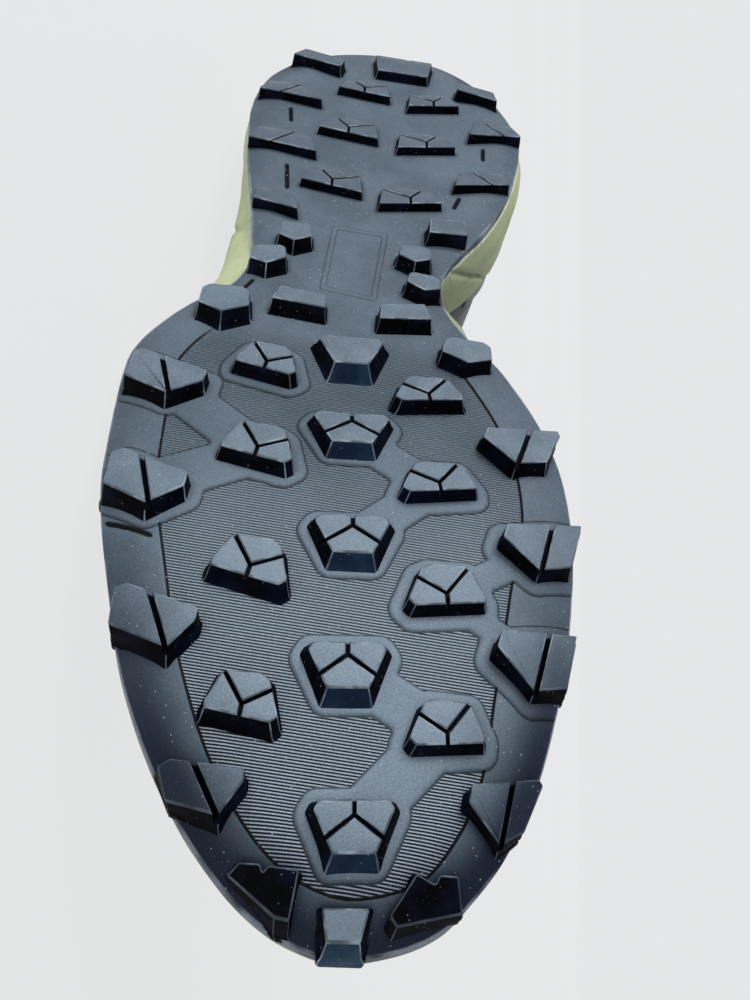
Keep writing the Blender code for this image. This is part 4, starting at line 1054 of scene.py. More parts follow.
# %% Ring
Ring = namedtuple("Ring", "plan out lateral share")


def ring_of(count):
    plan = np.concatenate([outline_side("lateral", count), outline_side("medial", count)[-2:0:-1]])
    ahead = np.roll(plan, -1, 0) - np.roll(plan, 1, 0)
    out = np.stack([-ahead[:, 1], ahead[:, 0]], axis=1)
    out = out / np.linalg.norm(out, axis=1, keepdims=True)
    mate = plan[-np.arange(len(plan)) % len(plan)]
    return Ring(plan, out, np.arange(len(plan)) <= count, (plan[:, 0] + mate[:, 0]) / 2 / SOLE_LENGTH)


def halves(values):
    """The lateral and the medial half of a ring's values, both from heel to toe."""
    count = len(values) // 2
    return values[:count + 1], values[-np.arange(count + 1) % len(values)]


# %% Foam's upper edge and flare
ARCH_AT, ARCH_LONG = 0.455, 0.06


def foam_height(x):
    """Height of the foam's upper edge above the tread's side view."""
    share = x / SOLE_LENGTH
    back = blend(FOAM_HEEL, FOAM_BALL, (share - 0.18) / 0.48)
    return np.where(share < 0.66, back, blend(FOAM_BALL, FOAM_TOE, (share - 0.66) / 0.34))


def foam_top(plan):
    """The foam's upper edge, with a swell that holds the arch on the medial side."""
    arch = ARCH_SWELL * np.exp(-((plan[:, 0] / SOLE_LENGTH - ARCH_AT) / ARCH_LONG) ** 2) * (plan[:, 1] < 0)
    return np.maximum(tread(plan) + RUBBER + 2.5, profile(plan[:, 0]) + foam_height(plan[:, 0]) + arch)


def flare(ring):
    """How far the foam reaches out past the rubber."""
    along = ring.plan[:, 0] / SOLE_LENGTH

    def read(lateral, medial):
        return np.where(ring.lateral, curve(FLARE, lateral)(along), curve(FLARE, medial)(along))

    return read("lateral", "medial") * MIDSOLE_FLARE + read("arch_lateral", "arch_medial") * ARCH_FLARE


# %% Closed sections
def round_section(*parts):
    """Stack blocks of rows x columns x 3 into one closed cross-section."""
    loop = np.concatenate(parts, axis=1)
    return np.concatenate([loop, loop[:, :1]], axis=1)


def across(one, two, shares):
    """Rows of points between two sides, without the sides."""
    share = np.array(shares)[None, :, None]
    return one[:, None] * (1 - share) + two[:, None] * share


# %% [markdown]
# ## Midsole
# The midsole is moulded EVA foam: a smooth skin with the fine dimples of the mould, a soft swell
# under the ankle, and creases where it folds each time the foot bends. It could be a subdivided
# cage, but then the flare would not follow the rubber's edge. So each ring point gets a column of
# levels, pushed out by the flare and pulled in at the creases. A cream line of dried glue shows where
# it meets the rubber, so the share of the height goes on the vertices as a mark.

# %% Levels and creases
Level = namedtuple("Level", "along flare")
LEVELS = [
    Level(0.00, 0.00), Level(0.10, 0.45), Level(0.28, 0.95), Level(0.46, 1.00),
    Level(0.56, 0.78), Level(0.66, 0.90), Level(0.86, 0.86), Level(1.00, 0.62),
]
Crease = namedtuple("Crease", "lateral x lean deep wide")
CREASES = [
    Crease(True, 104.0, -1.15, 1.5, 1.1), Crease(False, 111.5, -1.25, 1.7, 1.1),
    Crease(False, 122.0, -0.55, 2.2, 6.5), Crease(True, 70.0, -0.9, 0.35, 5.0), Crease(False, 84.0, -0.9, 0.4, 6.0),
]
print("foam:", len(CREASES), "creases, the deepest", max(c.deep for c in CREASES), "mm")

# %% Foam wall
FOAM_ROWS, FOAM_LEVELS = 330, 24

ring = ring_of(FOAM_ROWS)
level = np.linspace(0.0, 1.0, FOAM_LEVELS + 1)
low = tread(ring.plan) + RUBBER + GAP
rise = (foam_top(ring.plan) - low)[:, None] * level
swell = flare(ring)[:, None] * curve(LEVELS, "flare")(level)
fade = np.sin(np.pi * level * 0.9) ** 0.5
for c in CREASES:
    off = (ring.plan[:, :1] - c.x - c.lean * rise) / c.wide
    on_side = np.where(ring.lateral == c.lateral, 1.0, 0.0)[:, None]
    swell = swell - on_side * c.deep * np.exp(-off ** 2) * fade
wall = ring.plan[:, None] + ring.out[:, None] * swell[..., None]
wall = np.dstack([wall, low[:, None] + rise])
lateral_wall, medial_wall = halves(wall)
print("foam wall up to", round(float(wall[..., 2].max()), 1), "mm high")

# %% Foam section and marks
shares = [0.03, 0.09, 0.18, 0.34, 0.5, 0.66, 0.82, 0.91, 0.97]
bottom = across(medial_wall[:, 0], lateral_wall[:, 0], shares)
bottom[..., 2] = tread(bottom[..., :2]) + RUBBER + GAP
top = across(lateral_wall[:, -1], medial_wall[:, -1], [0.04, 0.5, 0.96])
foam_points = round_section(lateral_wall, top, medial_wall[:, ::-1], bottom)
height_mark = np.concatenate([level, np.full(3, 1.0), level[::-1], np.zeros(len(shares) + 1)])
along_foam = foam_points[..., 0] / SOLE_LENGTH
is_medial = np.concatenate([
    np.zeros(len(level)), [0.0, 0.5, 1.0], np.ones(len(level)), np.zeros(len(shares) + 1),
])
# A mark for painted shade on the medial side under the arch.
waist = is_medial * blend(0.0, 1.0, (along_foam - 0.16) / 0.24) * blend(1.0, 0.0, (along_foam - 0.50) / 0.06)
foam_mesh = grid(foam_points, {"height": np.tile(height_mark, (len(foam_points), 1)), "waist": waist})


# %% Midsole
def moulded_foam():
    """Olive EVA: dimpled skin, smudges, painted shade on the medial side under the arch and a glue line at the
    rubber.
    """
    finish = Finish("moulded_foam", Specular_IOR_Level=0.25)
    cloud = finish.noise(22.0, 3.0).step(0.3, 0.7)
    colour = finish.mix(cloud, (0.375, 0.425, 0.245), (0.440, 0.495, 0.300))
    fine = finish.noise(2.2, 3.0).step(0.35, 0.75)
    colour = finish.mix(fine * 0.16, colour, (0.270, 0.310, 0.175))
    smudge = finish.noise(11.0, 5.0).step(0.58, 0.74)
    colour = finish.mix(smudge * 0.30, colour, (0.190, 0.210, 0.145))
    # Painted shade on the medial side under the arch.
    colour = finish.mix(finish.mark("waist") * (fine * 0.10 + 0.55), colour, (0.175, 0.202, 0.126))
    height = finish.mark("height")
    glue = (1.0 - height.step(0.02, 0.055)) * finish.noise(6.0, 3.0).step(0.30, 0.55)
    colour = finish.mix(glue * 0.6, colour, (0.62, 0.65, 0.58))
    pores = finish.specks(0.9).step(0.10, 0.45)
    relief = pores * 0.05 + fine * 0.05 + glue * 0.15
    return finish.finish(colour, cloud * 0.12 + 0.55, relief)


piece(foam_mesh, "midsole_foam", [moulded_foam()], "midsole", sharp=0)

# %% [markdown]
# ## The upper's surface
# The upper is a sheet of knitted mesh pulled over a last. Its shape is one family of curves: each
# starts at the foam's edge and rises to the collar, to the throat or, over the toes, to a ridge where
# both sides meet. We work the surface out once, as an array of rows and steps with normals, and cut
# the upper, the overlays, the tongue and the laces from it, so that they always fit each other.

# %% Edges of the upper
UPPER_INSET, COLLAR_HEIGHT, ANKLE_HEIGHT, INSTEP_HEIGHT, TOE_BOX_HEIGHT = 3.0, 66.0, 50.0, 76.0, 33.0
COLLAR_WIDTH, THROAT_WIDTH = 64.0, 38.0
Edge = namedtuple("Edge", "along top lateral medial height round bulge")
EDGES = [
    Edge(0.000, 0.026, 0.00, 0.00, 1.00, 0.20, 0.50), Edge(0.012, 0.032, 0.15, -0.15, 0.99, 0.20, 0.50),
    Edge(0.040, 0.052, 0.30, -0.29, 0.94, 0.22, 0.48), Edge(0.090, 0.098, 0.43, -0.41, 0.86, 0.25, 0.42),
    Edge(0.160, 0.163, 0.49, -0.47, 0.79, 0.28, 0.35), Edge(0.240, 0.238, 0.51, -0.48, 0.78, 0.30, 0.28),
    Edge(0.310, 0.302, 0.48, -0.45, 0.86, 0.34, 0.22), Edge(0.360, 0.345, 0.41, -0.39, 0.99, 0.42, 0.16),
    Edge(0.400, 0.378, 0.335, -0.32, 1.06, 0.52, 0.12), Edge(0.460, 0.434, 0.49, -0.47, 0.89, 0.62, 0.12),
    Edge(0.540, 0.518, 0.44, -0.42, 0.70, 0.72, 0.14), Edge(0.620, 0.606, 0.38, -0.36, 0.54, 0.82, 0.16),
    Edge(0.680, 0.668, 0.30, -0.28, 0.45, 0.90, 0.18), Edge(0.710, 0.696, 0.20, -0.18, 0.42, 0.94, 0.20),
    Edge(0.730, 0.712, 0.00, 0.00, 0.405, 0.97, 0.20), Edge(0.790, 0.768, 0.00, 0.00, 0.365, 1.00, 0.20),
    Edge(0.860, 0.835, 0.00, 0.00, 0.325, 1.00, 0.20), Edge(0.920, 0.888, 0.00, 0.00, 0.285, 1.00, 0.18),
    Edge(0.970, 0.925, 0.00, 0.00, 0.245, 1.00, 0.14), Edge(1.000, 0.945, 0.00, 0.00, 0.225, 1.00, 0.10),
]
THROAT_END = 0.726
SKIN_ROWS, SKIN_STEPS = 120, 22
print("upper:", len(EDGES), "edge stations")


def middle_line(x):
    """Middle of the foot in plan."""
    along = x / SOLE_LENGTH
    sides = (curve(OUTLINE, "lateral")(along) + curve(OUTLINE, "medial")(along)) * width_at(x)
    arch = curve(FLARE, "arch_lateral")(along) - curve(FLARE, "arch_medial")(along)
    return (sides + arch * ARCH_FLARE * 0.6) / 2


def top_edge(ring, heel_top):
    """Point of the collar, throat or ridge above each ring point."""
    along = ring.share
    x = curve(EDGES, "top")(along) * SOLE_LENGTH
    side = np.where(ring.lateral, curve(EDGES, "lateral")(along), curve(EDGES, "medial")(along))
    side = np.where(along <= THROAT_END, side, 0.0)
    wide = blend(COLLAR_WIDTH, THROAT_WIDTH, (along - 0.40) / 0.06)
    top = blend(COLLAR_HEIGHT, ANKLE_HEIGHT / 0.78, along / 0.16)
    top = blend(top, INSTEP_HEIGHT, (along - 0.24) / 0.16)
    top = blend(top, TOE_BOX_HEIGHT / 0.405, (along - 0.54) / 0.19)
    base = heel_top + (profile(x) + foam_height(x) - heel_top) * np.minimum(1.0, along * 4)
    return np.stack([x, middle_line(x) + side * wide, base + SEAT + curve(EDGES, "height")(along) * top], axis=1)


# %% The surface and its normals
skin_ring = ring_of(SKIN_ROWS)
foam_edge = foam_top(skin_ring.plan)
start = skin_ring.plan + skin_ring.out * (flare(skin_ring) * LEVELS[-1].flare - UPPER_INSET)[:, None]
start = np.column_stack([start, foam_edge + SEAT])
end = top_edge(skin_ring, foam_edge[0])
t = np.linspace(0.0, 1.0, SKIN_STEPS + 1)[None, :]
q = curve(EDGES, "round")(skin_ring.share)[:, None]
over = (1 - q) * t + q * (1 - np.cos(t * np.pi / 2))
up = (1 - q) * t + q * np.sin(t * np.pi / 2)
bulge = curve(EDGES, "bulge")(skin_ring.share)[:, None] * UPPER_INSET * np.sin(np.pi * t)
SKIN = start[:, None] + (end - start)[:, None] * np.dstack([over, over, up])
SKIN[..., :2] += skin_ring.out[:, None] * bulge[..., None]

round_shoe = np.roll(SKIN, -1, 0) - np.roll(SKIN, 1, 0)
NORMAL = np.cross(np.gradient(SKIN, axis=1), round_shoe)
NORMAL /= np.maximum(np.linalg.norm(NORMAL, axis=2, keepdims=True), 1e-9)
mate = -np.arange(len(SKIN)) % len(SKIN)
closed = skin_ring.share > THROAT_END
both = NORMAL[:, -1] + NORMAL[mate, -1]
both[SKIN_ROWS] = (0.25, 0.0, 1.0)
both[0] = NORMAL[0, -2]
NORMAL[closed, -1] = (both / np.linalg.norm(both, axis=1, keepdims=True))[closed]
print("upper:", len(SKIN), "rows, collar", round(float(SKIN[0, -1, 2]), 1), "mm high")


# %% Points and lengths on the surface
def on_skin(rows, shares, off=0.0):
    """Points off the surface: rows x columns from row numbers and shares of their curves."""
    at = np.clip(np.asarray(shares) * SKIN_STEPS, 0, SKIN_STEPS - 1e-6)
    k = at.astype(int)
    part = (at - k)[..., None]
    rows = np.asarray(rows)[:, None]
    lifted = SKIN + NORMAL * off
    return lifted[rows, k] * (1 - part) + lifted[rows, k + 1] * part


def run_of(points):
    """Millimetres run along a path, point by point."""
    return np.concatenate([[0.0], np.cumsum(np.linalg.norm(np.diff(points, axis=0), axis=1))])


RUN = run_of(SKIN[:, 6])
RISE = np.cumsum(np.linalg.norm(np.diff(SKIN, axis=1), axis=2), axis=1)
RISE = np.concatenate([np.zeros((len(SKIN), 1)), RISE], axis=1)
print("round the shoe:", round(float(RUN[-1])), "mm")


# %% Walls from a sheet
def thicken(made, thick, inward=True, weights=None, lining=0):
    """Give an open sheet its wall with Solidify, then round it with a subdivision surface."""
    wall = made.modifiers.new("wall", "SOLIDIFY")
    wall.thickness = thick * MM
    wall.offset = -1.0 if inward else 1.0
    wall.use_even_offset = True
    wall.use_quality_normals = True
    wall.material_offset = lining
    if weights is not None:
        group = made.vertex_groups.new(name="thick")
        for number, weight in enumerate(weights):
            group.add([number], float(weight), "REPLACE")
        wall.vertex_group = "thick"
    round_off = made.modifiers.new("round_off", "SUBSURF")
    round_off.levels = round_off.render_levels = 1
    return made


# %% [markdown]
# ## Fabrics
# Knitted mesh, tape and laces are all threads crossing at a fixed pitch, so one method draws them:
# two sine waves along the two marks that hold millimetres, run and rise. Their product tells thread
# from gap, and the same number drives colour and relief, so light and shade agree. A weave tied to
# object coordinates would stretch at the toe and the heel.

# %% Knit and cloth
def knitted_mesh(name, thread, gap, pitch=1.5, bands=0.0):
    """Mesh with rows of small holes, closed in stripes that repeat along the rise as far as bands asks."""
    finish = Finish(name, Specular_IOR_Level=0.2, Sheen_Weight=0.25, Sheen_Roughness=0.5)
    run, rise = finish.mark("run"), finish.mark("rise")
    wave = (run * (2 * math.pi / pitch)).sine() * (rise * (2 * math.pi / pitch)).sine()
    hole = wave.size().step(0.42, 0.75)
    rib = (rise * (2 * math.pi / (pitch * 4))).sine().step(-0.2, 0.8)
    hole = hole * (1.0 - rib * bands)
    twist = finish.noise(0.5, 2.0)
    cloud = finish.noise(17.0, 3.0).step(0.3, 0.7)
    colour = finish.mix(cloud, thread, [min(1.0, c * 1.35) for c in thread])
    colour = finish.mix(twist * 0.35, colour, [c * 0.5 for c in thread])
    colour = finish.mix(hole * 0.9, colour, gap)
    return finish.finish(colour, twist * 0.15 + 0.72, (1.0 - hole) * 0.16 + twist * 0.05)


def woven_tape(name, light, dark, pitch=1.1, slant=1.0):
    """Thread bundles crossing on the slant, as in a flat lace or a pull tape."""
    finish = Finish(name, Specular_IOR_Level=0.25, Sheen_Weight=0.2)
    run, rise = finish.mark("run"), finish.mark("rise")
    one = ((run + rise * slant) * (2 * math.pi / pitch)).sine()
    two = ((run - rise * slant) * (2 * math.pi / pitch)).sine()
    thread = one.most(two)
    colour = finish.mix(thread.step(-0.2, 0.9), dark, light)
    fleck = finish.noise(3.0, 3.0).step(0.55, 0.7)
    colour = finish.mix(fleck * 0.3, colour, dark)
    return finish.finish(colour, thread * 0.08 + 0.7, thread * 0.12)


def film(name, base, pale_mark, stitch=(0.20, 0.21, 0.20)):
    """Welded synthetic film with a fine leather grain, edges rubbed pale and one row of stitches."""
    finish = Finish(name, Specular_IOR_Level=0.4)
    rim, run = finish.mark("rim"), finish.mark("run")
    cloud = finish.noise(12.0, 4.0).step(0.3, 0.7)
    colour = finish.mix(cloud, base, [c * 1.5 for c in base])
    rubbed = (1.0 - rim.step(0.2, 1.4)) * finish.noise(5.0, 4.0).step(0.35, 0.62)
    colour = finish.mix(rubbed * 0.6, colour, pale_mark)
    dash = (run * (2 * math.pi / 2.8)).sine().step(-0.35, -0.05)
    thread = (1.0 - (rim - 2.6).size().step(0.22, 0.42)) * dash
    colour = finish.mix(thread, colour, stitch)
    scratch = finish.noise(1.1, 4.0).step(0.62, 0.75)
    colour = finish.mix(scratch * 0.25, colour, pale_mark)
    cells = finish.specks(1.3).step(0.05, 0.5)
    return finish.finish(colour, scratch * 0.25 + 0.38, cells * 0.08 + thread * 0.25)


# %% [markdown]
# ## Upper
# The upper is one sheet from the foam to the collar, with a padded roll round the ankle. A Solidify
# modifier gives it its wall, and a vertex group makes that wall thicker at the collar; its inner skin
# takes the second material, the lining. The seam over the toes closes when doubles are merged. It
# could be cloth draped over a foot's form, but then the overlays would have nothing fixed to fit.

# %% Upper
looped = np.concatenate([SKIN, SKIN[:1]])
looped_marks = {
    "run": np.repeat(np.append(RUN, RUN[0]), SKIN_STEPS + 1),
    "rise": np.concatenate([RISE, RISE[:1]]),
}
UPPER_KNIT = knitted_mesh("upper_knit", (0.045, 0.050, 0.060), (0.004, 0.005, 0.007), 1.6, 0.7)
LINING = knitted_mesh("lining", (0.085, 0.090, 0.085), (0.020, 0.021, 0.022), 1.2)
upper_shell = piece(grid(looped, looped_marks), "upper_shell", [UPPER_KNIT, LINING], "upper", sharp=0, merge=0.02)

# %% Padded collar
WALL, COLLAR_PAD = 2.0, 5.2
COLLAR_END = 0.40
stand_up = LAY_DOWN.inverted()
flat_skin = SKIN.reshape(-1, 3)
weights = np.full(len(upper_shell.data.vertices), WALL / COLLAR_PAD)
for number, vert in enumerate(upper_shell.data.vertices):
    nearest = int(np.argmin(((flat_skin - np.array(stand_up @ vert.co)) ** 2).sum(1)))
    row, step = divmod(nearest, SKIN_STEPS + 1)
    share, rise = skin_ring.share[row], step / SKIN_STEPS
    if share < COLLAR_END:
        puff = blend(0.0, 1.0, (rise - 0.62) / 0.2) * blend(1.0, 0.0, (rise - 0.93) / 0.1)
        puff *= blend(1.0, 0.0, (share - COLLAR_END + 0.10) / 0.10)
        weights[number] += (1.0 - WALL / COLLAR_PAD) * float(puff)
thicken(upper_shell, COLLAR_PAD, weights=weights, lining=1)
print("padded points at the collar:", int((weights > 0.5).sum()))

# %% [markdown]
# ## Overlays
# Films are welded over the mesh where the shoe is kicked: a cap round the toe, a cup round the heel
# and a stay under the eyelets. They could be cut out of a copy of the upper, but its faces don't
# follow their edges. So each is a band of the same surface, lifted a little and thickened outward.
# The distance to the band's edge goes on as a mark and places the stitch line.

# %% Bands of the surface
OVERLAY = 1.1
TOE_CAP_RISE, COUNTER_RISE, EYESTAY_BAND = 0.42, 0.62, 0.17


def rows_where(test):
    """Row numbers that pass a test, in one run round the shoe."""
    picked = [i for i in range(len(SKIN)) if test(skin_ring.share[i])]
    breaks = [k for k in range(1, len(picked)) if picked[k] - picked[k - 1] > 1]
    return np.array(picked[breaks[0]:] + picked[:breaks[0]] if breaks else picked)


def overlay(name, node, rows, low, high, material, steps=12):
    """A band of the surface between two shares of its curves."""
    share = low[:, None] + (high - low)[:, None] * np.linspace(0.0, 1.0, steps + 1)[None, :]
    points = on_skin(rows, share, GAP)
    step = np.linalg.norm(np.diff(points, axis=1), axis=2)
    up = np.concatenate([np.zeros((len(rows), 1)), np.cumsum(step, axis=1)], axis=1)
    down = up[:, -1:] - up
    run = run_of(points[:, steps // 2])
    ends = np.minimum(run, run[-1] - run)[:, None]
    rim = np.minimum(np.minimum(down, ends), up + 6.0)
    mesh = grid(points, {"run": np.repeat(run, steps + 1), "rise": up, "rim": rim})
    return thicken(piece(mesh, name, [material], node, sharp=0, merge=0.02), OVERLAY, inward=False)


# %% Toe cap and heel counter
rows = rows_where(lambda a: a > 0.60)
share = skin_ring.share[rows]
overlay("toe_cap_film", "toe_cap", rows, 0 * share, blend(0.07, TOE_CAP_RISE, (share - 0.62) / 0.36),
        film("toe_film", (0.016, 0.019, 0.025), (0.10, 0.11, 0.12)))
rows = rows_where(lambda a: a < 0.33)
share = skin_ring.share[rows]
overlay("heel_counter_film", "heel_counter", rows, 0 * share, blend(COUNTER_RISE, 0.08, (share - 0.02) / 0.33),
        film("heel_film", (0.018, 0.020, 0.026), (0.09, 0.10, 0.11)))

# %% Eyestay
rows = np.array([i for i in range(1, SKIN_ROWS) if 0.39 < skin_ring.share[i] < 0.80])
share = skin_ring.share[rows]
wide = blend(EYESTAY_BAND, EYESTAY_BAND * 1.3, (share - 0.44) / 0.22)
low = 1.0 - blend(wide, 0.05, (share - 0.72) / 0.08)
bands = []
for side in (rows, len(SKIN) - rows):
    columns = low[:, None] + (1.0 - low)[:, None] * np.linspace(0.0, 1.0, 9)[None, :]
    points = on_skin(side, columns, GAP)
    bands.append(points if side is rows else points[:, ::-1])
    if side is rows:
        run, up = run_of(points[:, 4]), np.linalg.norm(points - points[:, :1], axis=2)
stay = []
for points, up in zip(bands, (up, up[:, ::-1])):
    rim = np.minimum(up, (run[-1] - run)[:, None] + 1.0)
    stay.append(grid(points, {"run": np.repeat(run, 9), "rise": up, "rim": rim}))
STAY_FILM = film("stay_film", (0.020, 0.023, 0.030), (0.10, 0.11, 0.12))
eyestay = piece(join(*stay), "eyestay_film", [STAY_FILM], "eyestay", sharp=0, merge=0.02)
thicken(eyestay, OVERLAY, inward=False)


# %% [markdown]
# ## Tongue
# The tongue is a padded flap under the laces. As cloth it would be a thin pillow, so it is modelled
# as one: a closed cross-section, thickest in the middle and drawn in at its edges and at the sewn
# channels. A cloth simulation could blow it up, but it is thin and lies under the laces, so a formula
# does. It follows the throat's own rows, lies under the upper and stands up above the laces.

# %% Middle sheet of the tongue
TONGUE_THICK, TONGUE_RISE, TONGUE_SAG, TONGUE_SEAM = 4.0, 24.0, 5.0, 0.8
WALL_ROOM = 2.2
TONGUE_UNDER = WALL_ROOM + 2 * GAP
throat = np.array([i for i in range(1, SKIN_ROWS) if 0.40 < skin_ring.share[i] <= THROAT_END])[::-1]
side = on_skin(throat, np.tile([0.80, 0.90, 1.0], (len(throat), 1)), -TONGUE_UNDER)
other = on_skin(len(SKIN) - throat, np.tile([1.0, 0.90, 0.80], (len(throat), 1)), -TONGUE_UNDER)
shares = np.linspace(0.0, 1.0, 11)[1:-1]
crown = np.linalg.norm(side[:, -1] - other[:, 0], axis=1) * 0.06
middle = across(side[:, -1], other[:, 0], shares)
middle[..., 2] += crown[:, None] * np.sin(np.pi * shares)
flap = np.concatenate([side, middle, other], axis=1)
lift = flap[-1, 7] - flap[-4, 7]
lift = lift / np.linalg.norm(lift)
half = np.linalg.norm(flap[-1, 2] - flap[-1, 12]) / 2
spread_out = np.linspace(1.0, -1.0, flap.shape[1])
TIP = [
    (0.10, 0.93), (0.22, 0.91), (0.36, 0.92), (0.50, 0.92), (0.64, 0.91), (0.78, 0.86), (0.88, 0.78), (0.95, 0.68),
    (1.0, 0.52),
]
tip = []
for step, narrow in TIP:
    row = flap[-1, 7] + lift * TONGUE_RISE * step + np.array([-0.5, 0, -0.86]) * TONGUE_SAG * spread_out[:, None] ** 2
    row[:, 1] += half * narrow * spread_out
    tip.append(row)
flap = np.concatenate([flap, np.array(tip)])
length = run_of(flap[:, 7])
print("tongue:", round(float(length[-1])), "mm long")

# %% Tongue
down_row, over_row = np.gradient(flap, axis=0), np.gradient(flap, axis=1)
face = np.cross(over_row, down_row)
face /= np.linalg.norm(face, axis=2, keepdims=True)
face *= np.sign(face[..., 2:3].mean())
pad = (1.0 - np.abs(spread_out[None, :]) ** 5) * (1.0 - np.abs(length / length[-1] * 2 - 1) ** 12)[:, None]
channel = np.exp(-((np.abs(spread_out)[None, :] - 0.52) / 0.07) ** 2)
channel = np.maximum(channel, np.exp(-((length[:, None] - length[-1] + 11.0) / 1.2) ** 2))
pad = TONGUE_SEAM + (TONGUE_THICK - TONGUE_SEAM) * pad * (1.0 - 0.55 * channel)
top_side = flap - face * (TONGUE_THICK - pad)[..., None] * 0.5
under_side = flap - face * (TONGUE_THICK + pad)[..., None] * 0.5
section = np.concatenate([top_side, under_side[:, ::-1], top_side[:, :1]], axis=1)
wide_mark = np.concatenate([spread_out, spread_out[::-1], spread_out[:1]]) * half * 1.4
tongue_marks = {"run": np.repeat(length, section.shape[1]), "rise": np.tile(wide_mark, (len(section), 1))}
tongue_mesh = grid(section, tongue_marks)
bmesh.ops.remove_doubles(tongue_mesh, verts=tongue_mesh.verts, dist=0.01)
bmesh.ops.holes_fill(tongue_mesh, edges=[e for e in tongue_mesh.edges if e.is_boundary])
TONGUE_KNIT = knitted_mesh("tongue_mesh", (0.060, 0.064, 0.072), (0.008, 0.009, 0.011), 1.3)
tongue = piece(tongue_mesh, "tongue_pad", [TONGUE_KNIT], "tongue", sharp=0, merge=0)
soften = tongue.modifiers.new("soften", "SUBSURF")
soften.levels = soften.render_levels = 1


# %% [markdown]
# ## Laces and eyelets
# A lace is a flat braided tube. Each strand comes up through an eyelet, bends over the edge of the
# stay, crosses the tongue and goes down on the other side; at each crossing one strand rides over the
# other. A curve object with a bevel would give a round tube whose weave cannot be laid along it, so
# the tube is a grid wound round a smooth path, with its length and its girth as marks.

# %% A braided tube
def tube(path, wide, thick, up, sides=14):
    """A closed tube with an oval section along a path, its flat side facing up."""
    ahead = np.gradient(path, axis=0)
    ahead /= np.linalg.norm(ahead, axis=1, keepdims=True)
    aside = np.cross(ahead, up)
    aside /= np.linalg.norm(aside, axis=1, keepdims=True)
    over = np.cross(aside, ahead)
    turn = np.linspace(0.0, 2 * np.pi, sides + 1)
    flat, high = np.cos(turn) * wide / 2, np.sin(turn) * thick / 2
    points = path[:, None] + aside[:, None] * flat[None, :, None] + over[:, None] * high[None, :, None]
    bm = grid(points, {"run": np.repeat(run_of(path), sides + 1), "rise": np.tile(flat, (len(path), 1))})
    bmesh.ops.remove_doubles(bm, verts=bm.verts, dist=0.01)
    bmesh.ops.holes_fill(bm, edges=[e for e in bm.edges if e.is_boundary])
    return bm


# %% Places along the throat
EYELETS = [0.690, 0.645, 0.599, 0.553, 0.508, 0.466, 0.428]


def by_throat(along, lateral, share, off):
    """A point near the throat at a share along it, lifted off the surface."""
    rows = np.arange(1, SKIN_ROWS)
    row = float(np.interp(along, skin_ring.share[rows], rows))
    k = int(row)
    pair = np.array([k, k + 1]) if lateral else len(SKIN) - np.array([k, k + 1])
    low, high = on_skin(pair, np.full((2, 1), share), off)[:, 0]
    return low + (high - low) * (row - k)


# %% Laces
LACE_WIDE, LACE_THICK = 3.6, 2.0
stay_top = GAP + OVERLAY
throat_up = np.array([0.3, 0.0, 1.0])
lace_mesh = bmesh.new()
for a, b in zip(EYELETS, EYELETS[1:]):
    for lateral, cross in ((True, 0.0), (False, LACE_THICK + 0.25)):
        near = by_throat(a, lateral, 0.90, stay_top - 1.2)
        rise_up = by_throat(a, lateral, 0.925, stay_top + 1.3)
        lip = by_throat(a * 0.85 + b * 0.15, lateral, 0.985, stay_top + 1.6)
        far_lip = by_throat(a * 0.15 + b * 0.85, not lateral, 0.985, stay_top + 1.6)
        far_up = by_throat(b, not lateral, 0.925, stay_top + 1.3)
        far = by_throat(b, not lateral, 0.90, stay_top - 1.2)
        centre = (lip + far_lip) / 2 + throat_up * (0.9 + cross)
        knots = [near * 2 - rise_up, near, rise_up, lip, centre, far_lip, far_up, far, far * 2 - far_up]
        join(lace_mesh, tube(smooth_path(knots, 44), LACE_WIDE, LACE_THICK, throat_up))
LACE_TAPE = woven_tape("lace_braid", (0.46, 0.50, 0.33), (0.16, 0.18, 0.12), 0.9)
piece(lace_mesh, "lace_strands", [LACE_TAPE], "laces", sharp=0, merge=0)

# %% Eyelet rings
EYELET_RING, EYELET_WIRE = 2.5, 0.55
eyelets = bmesh.new()
for along in EYELETS:
    for lateral in (True, False):
        at = Vector(by_throat(along, lateral, 0.905, stay_top))
        out = (Vector(by_throat(along, lateral, 0.905, stay_top + 1.0)) - at).normalized()
        one = bmesh.new()
        start = bmesh.ops.create_circle(one, segments=8, radius=EYELET_WIRE)["verts"]
        bmesh.ops.rotate(one, verts=start, cent=(0, 0, 0), matrix=Matrix.Rotation(math.pi / 2, 3, "X"))
        bmesh.ops.translate(one, verts=start, vec=(EYELET_RING, 0, 0))
        bmesh.ops.spin(one, geom=one.verts[:] + one.edges[:], cent=(0, 0, 0), axis=(0, 0, 1), angle=2 * math.pi,
                       steps=24, use_merge=True, use_duplicate=False)
        turn = out.to_track_quat("Z", "Y").to_matrix()
        bmesh.ops.rotate(one, verts=one.verts, cent=(0, 0, 0), matrix=turn)
        bmesh.ops.translate(one, verts=one.verts, vec=at)
        join(eyelets, one)


def dark_metal():
    """Blackened metal, rubbed bright in places."""
    finish = Finish("dark_eyelet", Metallic=0.9)
    rub = finish.noise(1.2, 3.0).step(0.45, 0.7)
    colour = finish.mix(rub, (0.05, 0.055, 0.06), (0.16, 0.17, 0.18))
    return finish.finish(colour, rub * 0.2 + 0.3, finish.noise(0.4, 2.0) * 0.02)


eyelet_rings = piece(eyelets, "eyelet_rings", [dark_metal()], None, sharp=0, merge=0.002)

# %% [markdown]
# ## Pull loop
# A short tape is sewn to the back of the heel and folded over the collar, so that a finger can pull
# the shoe on. A curve object with a flat bevel would have the shape, but not the marks that the weave
# reads. So it is a strip along a smooth path, given its thickness with Solidify.

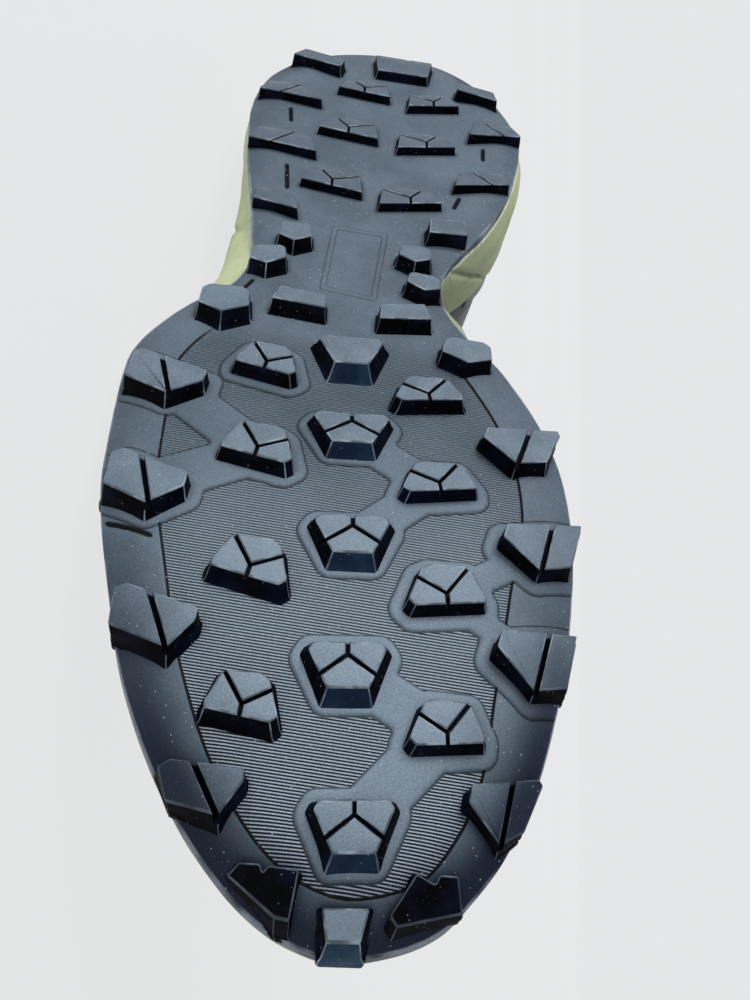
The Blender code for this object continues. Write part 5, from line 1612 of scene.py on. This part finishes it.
# %% Pull loop
LOOP_WIDTH, LOOP_THICK, LOOP_STAND, LOOP_RISE = 11.0, 1.6, 3.6, 5.5
back = on_skin([0], [[0.70, 0.80, 0.90, 1.0]], 2 * GAP + LOOP_THICK / 2)[0]
out = np.array([-1.0, 0.0, 0.0])
path = [
    back[0] + out * -1.0, back[0] + out * 0.2, back[1] + out * LOOP_STAND * 0.6, back[2] + out * LOOP_STAND,
    back[3] + out * LOOP_STAND * 0.95 + (0, 0, LOOP_RISE * 0.36),
    back[3] + out * LOOP_STAND * 0.33 + (0, 0, LOOP_RISE),
    back[3] + (LOOP_THICK, 0, LOOP_RISE * 0.84), back[3] + (LOOP_THICK + 1.0, 0, LOOP_RISE * 0.4),
]
path = smooth_path(path, 28)
across_tape = np.linspace(-0.5, 0.5, 9) * LOOP_WIDTH
strip = path[:, None] + np.stack([0 * across_tape, across_tape, 0 * across_tape], axis=1)[None]
tape_marks = {"run": np.repeat(run_of(path), 9), "rise": np.tile(across_tape, (len(path), 1))}
PULL_TAPE = woven_tape("pull_tape", (0.42, 0.46, 0.31), (0.12, 0.13, 0.10), 1.3, 0.6)
loop = piece(grid(strip, tape_marks), "pull_loop", [PULL_TAPE], "heel_loop", sharp=0)
thicken(loop, LOOP_THICK)
loop.modifiers["wall"].offset = 0.0

# %% [markdown]
# ## Insole
# The sock liner is a foam sheet with a brushed fabric face, cut to the inside of the upper and
# bevelled at its edge. It could be the tread's outline, scaled and extruded, but then it would miss
# the foam's flare. So it is a closed section again: flat below and rounded at the side.

# %% Insole
INSOLE, INSOLE_BEVEL = 4.0, 1.2
LINER_SIDE = [(0.0, 0.0), (-0.1, 0.6), (0.35, 0.88), (INSOLE_BEVEL, 1.0)]
ring = ring_of(140)
inner = flare(ring) * LEVELS[-1].flare - UPPER_INSET - WALL_ROOM - 3 * GAP
top_z = foam_top(ring.plan)
sides = []
for inset, level in LINER_SIDE:
    rise = GAP + level * INSOLE
    sides.append(np.column_stack([ring.plan + ring.out * (inner - inset)[:, None], top_z + rise]))
sides = np.stack(sides, axis=1)
one, two = halves(sides)
shares = np.linspace(0.0, 1.0, 9)[1:-1]
liner = round_section(one, across(one[:, -1], two[:, -1], shares), two[:, ::-1], across(two[:, 0], one[:, 0], shares))
liner_mesh = grid(liner, {"run": liner[..., 0], "rise": liner[..., 1]})
BRUSHED = knitted_mesh("brushed_liner", (0.10, 0.10, 0.105), (0.03, 0.03, 0.032), 0.9)
piece(liner_mesh, "sock_liner", [BRUSHED], "insole", sharp=60, merge=0.02)
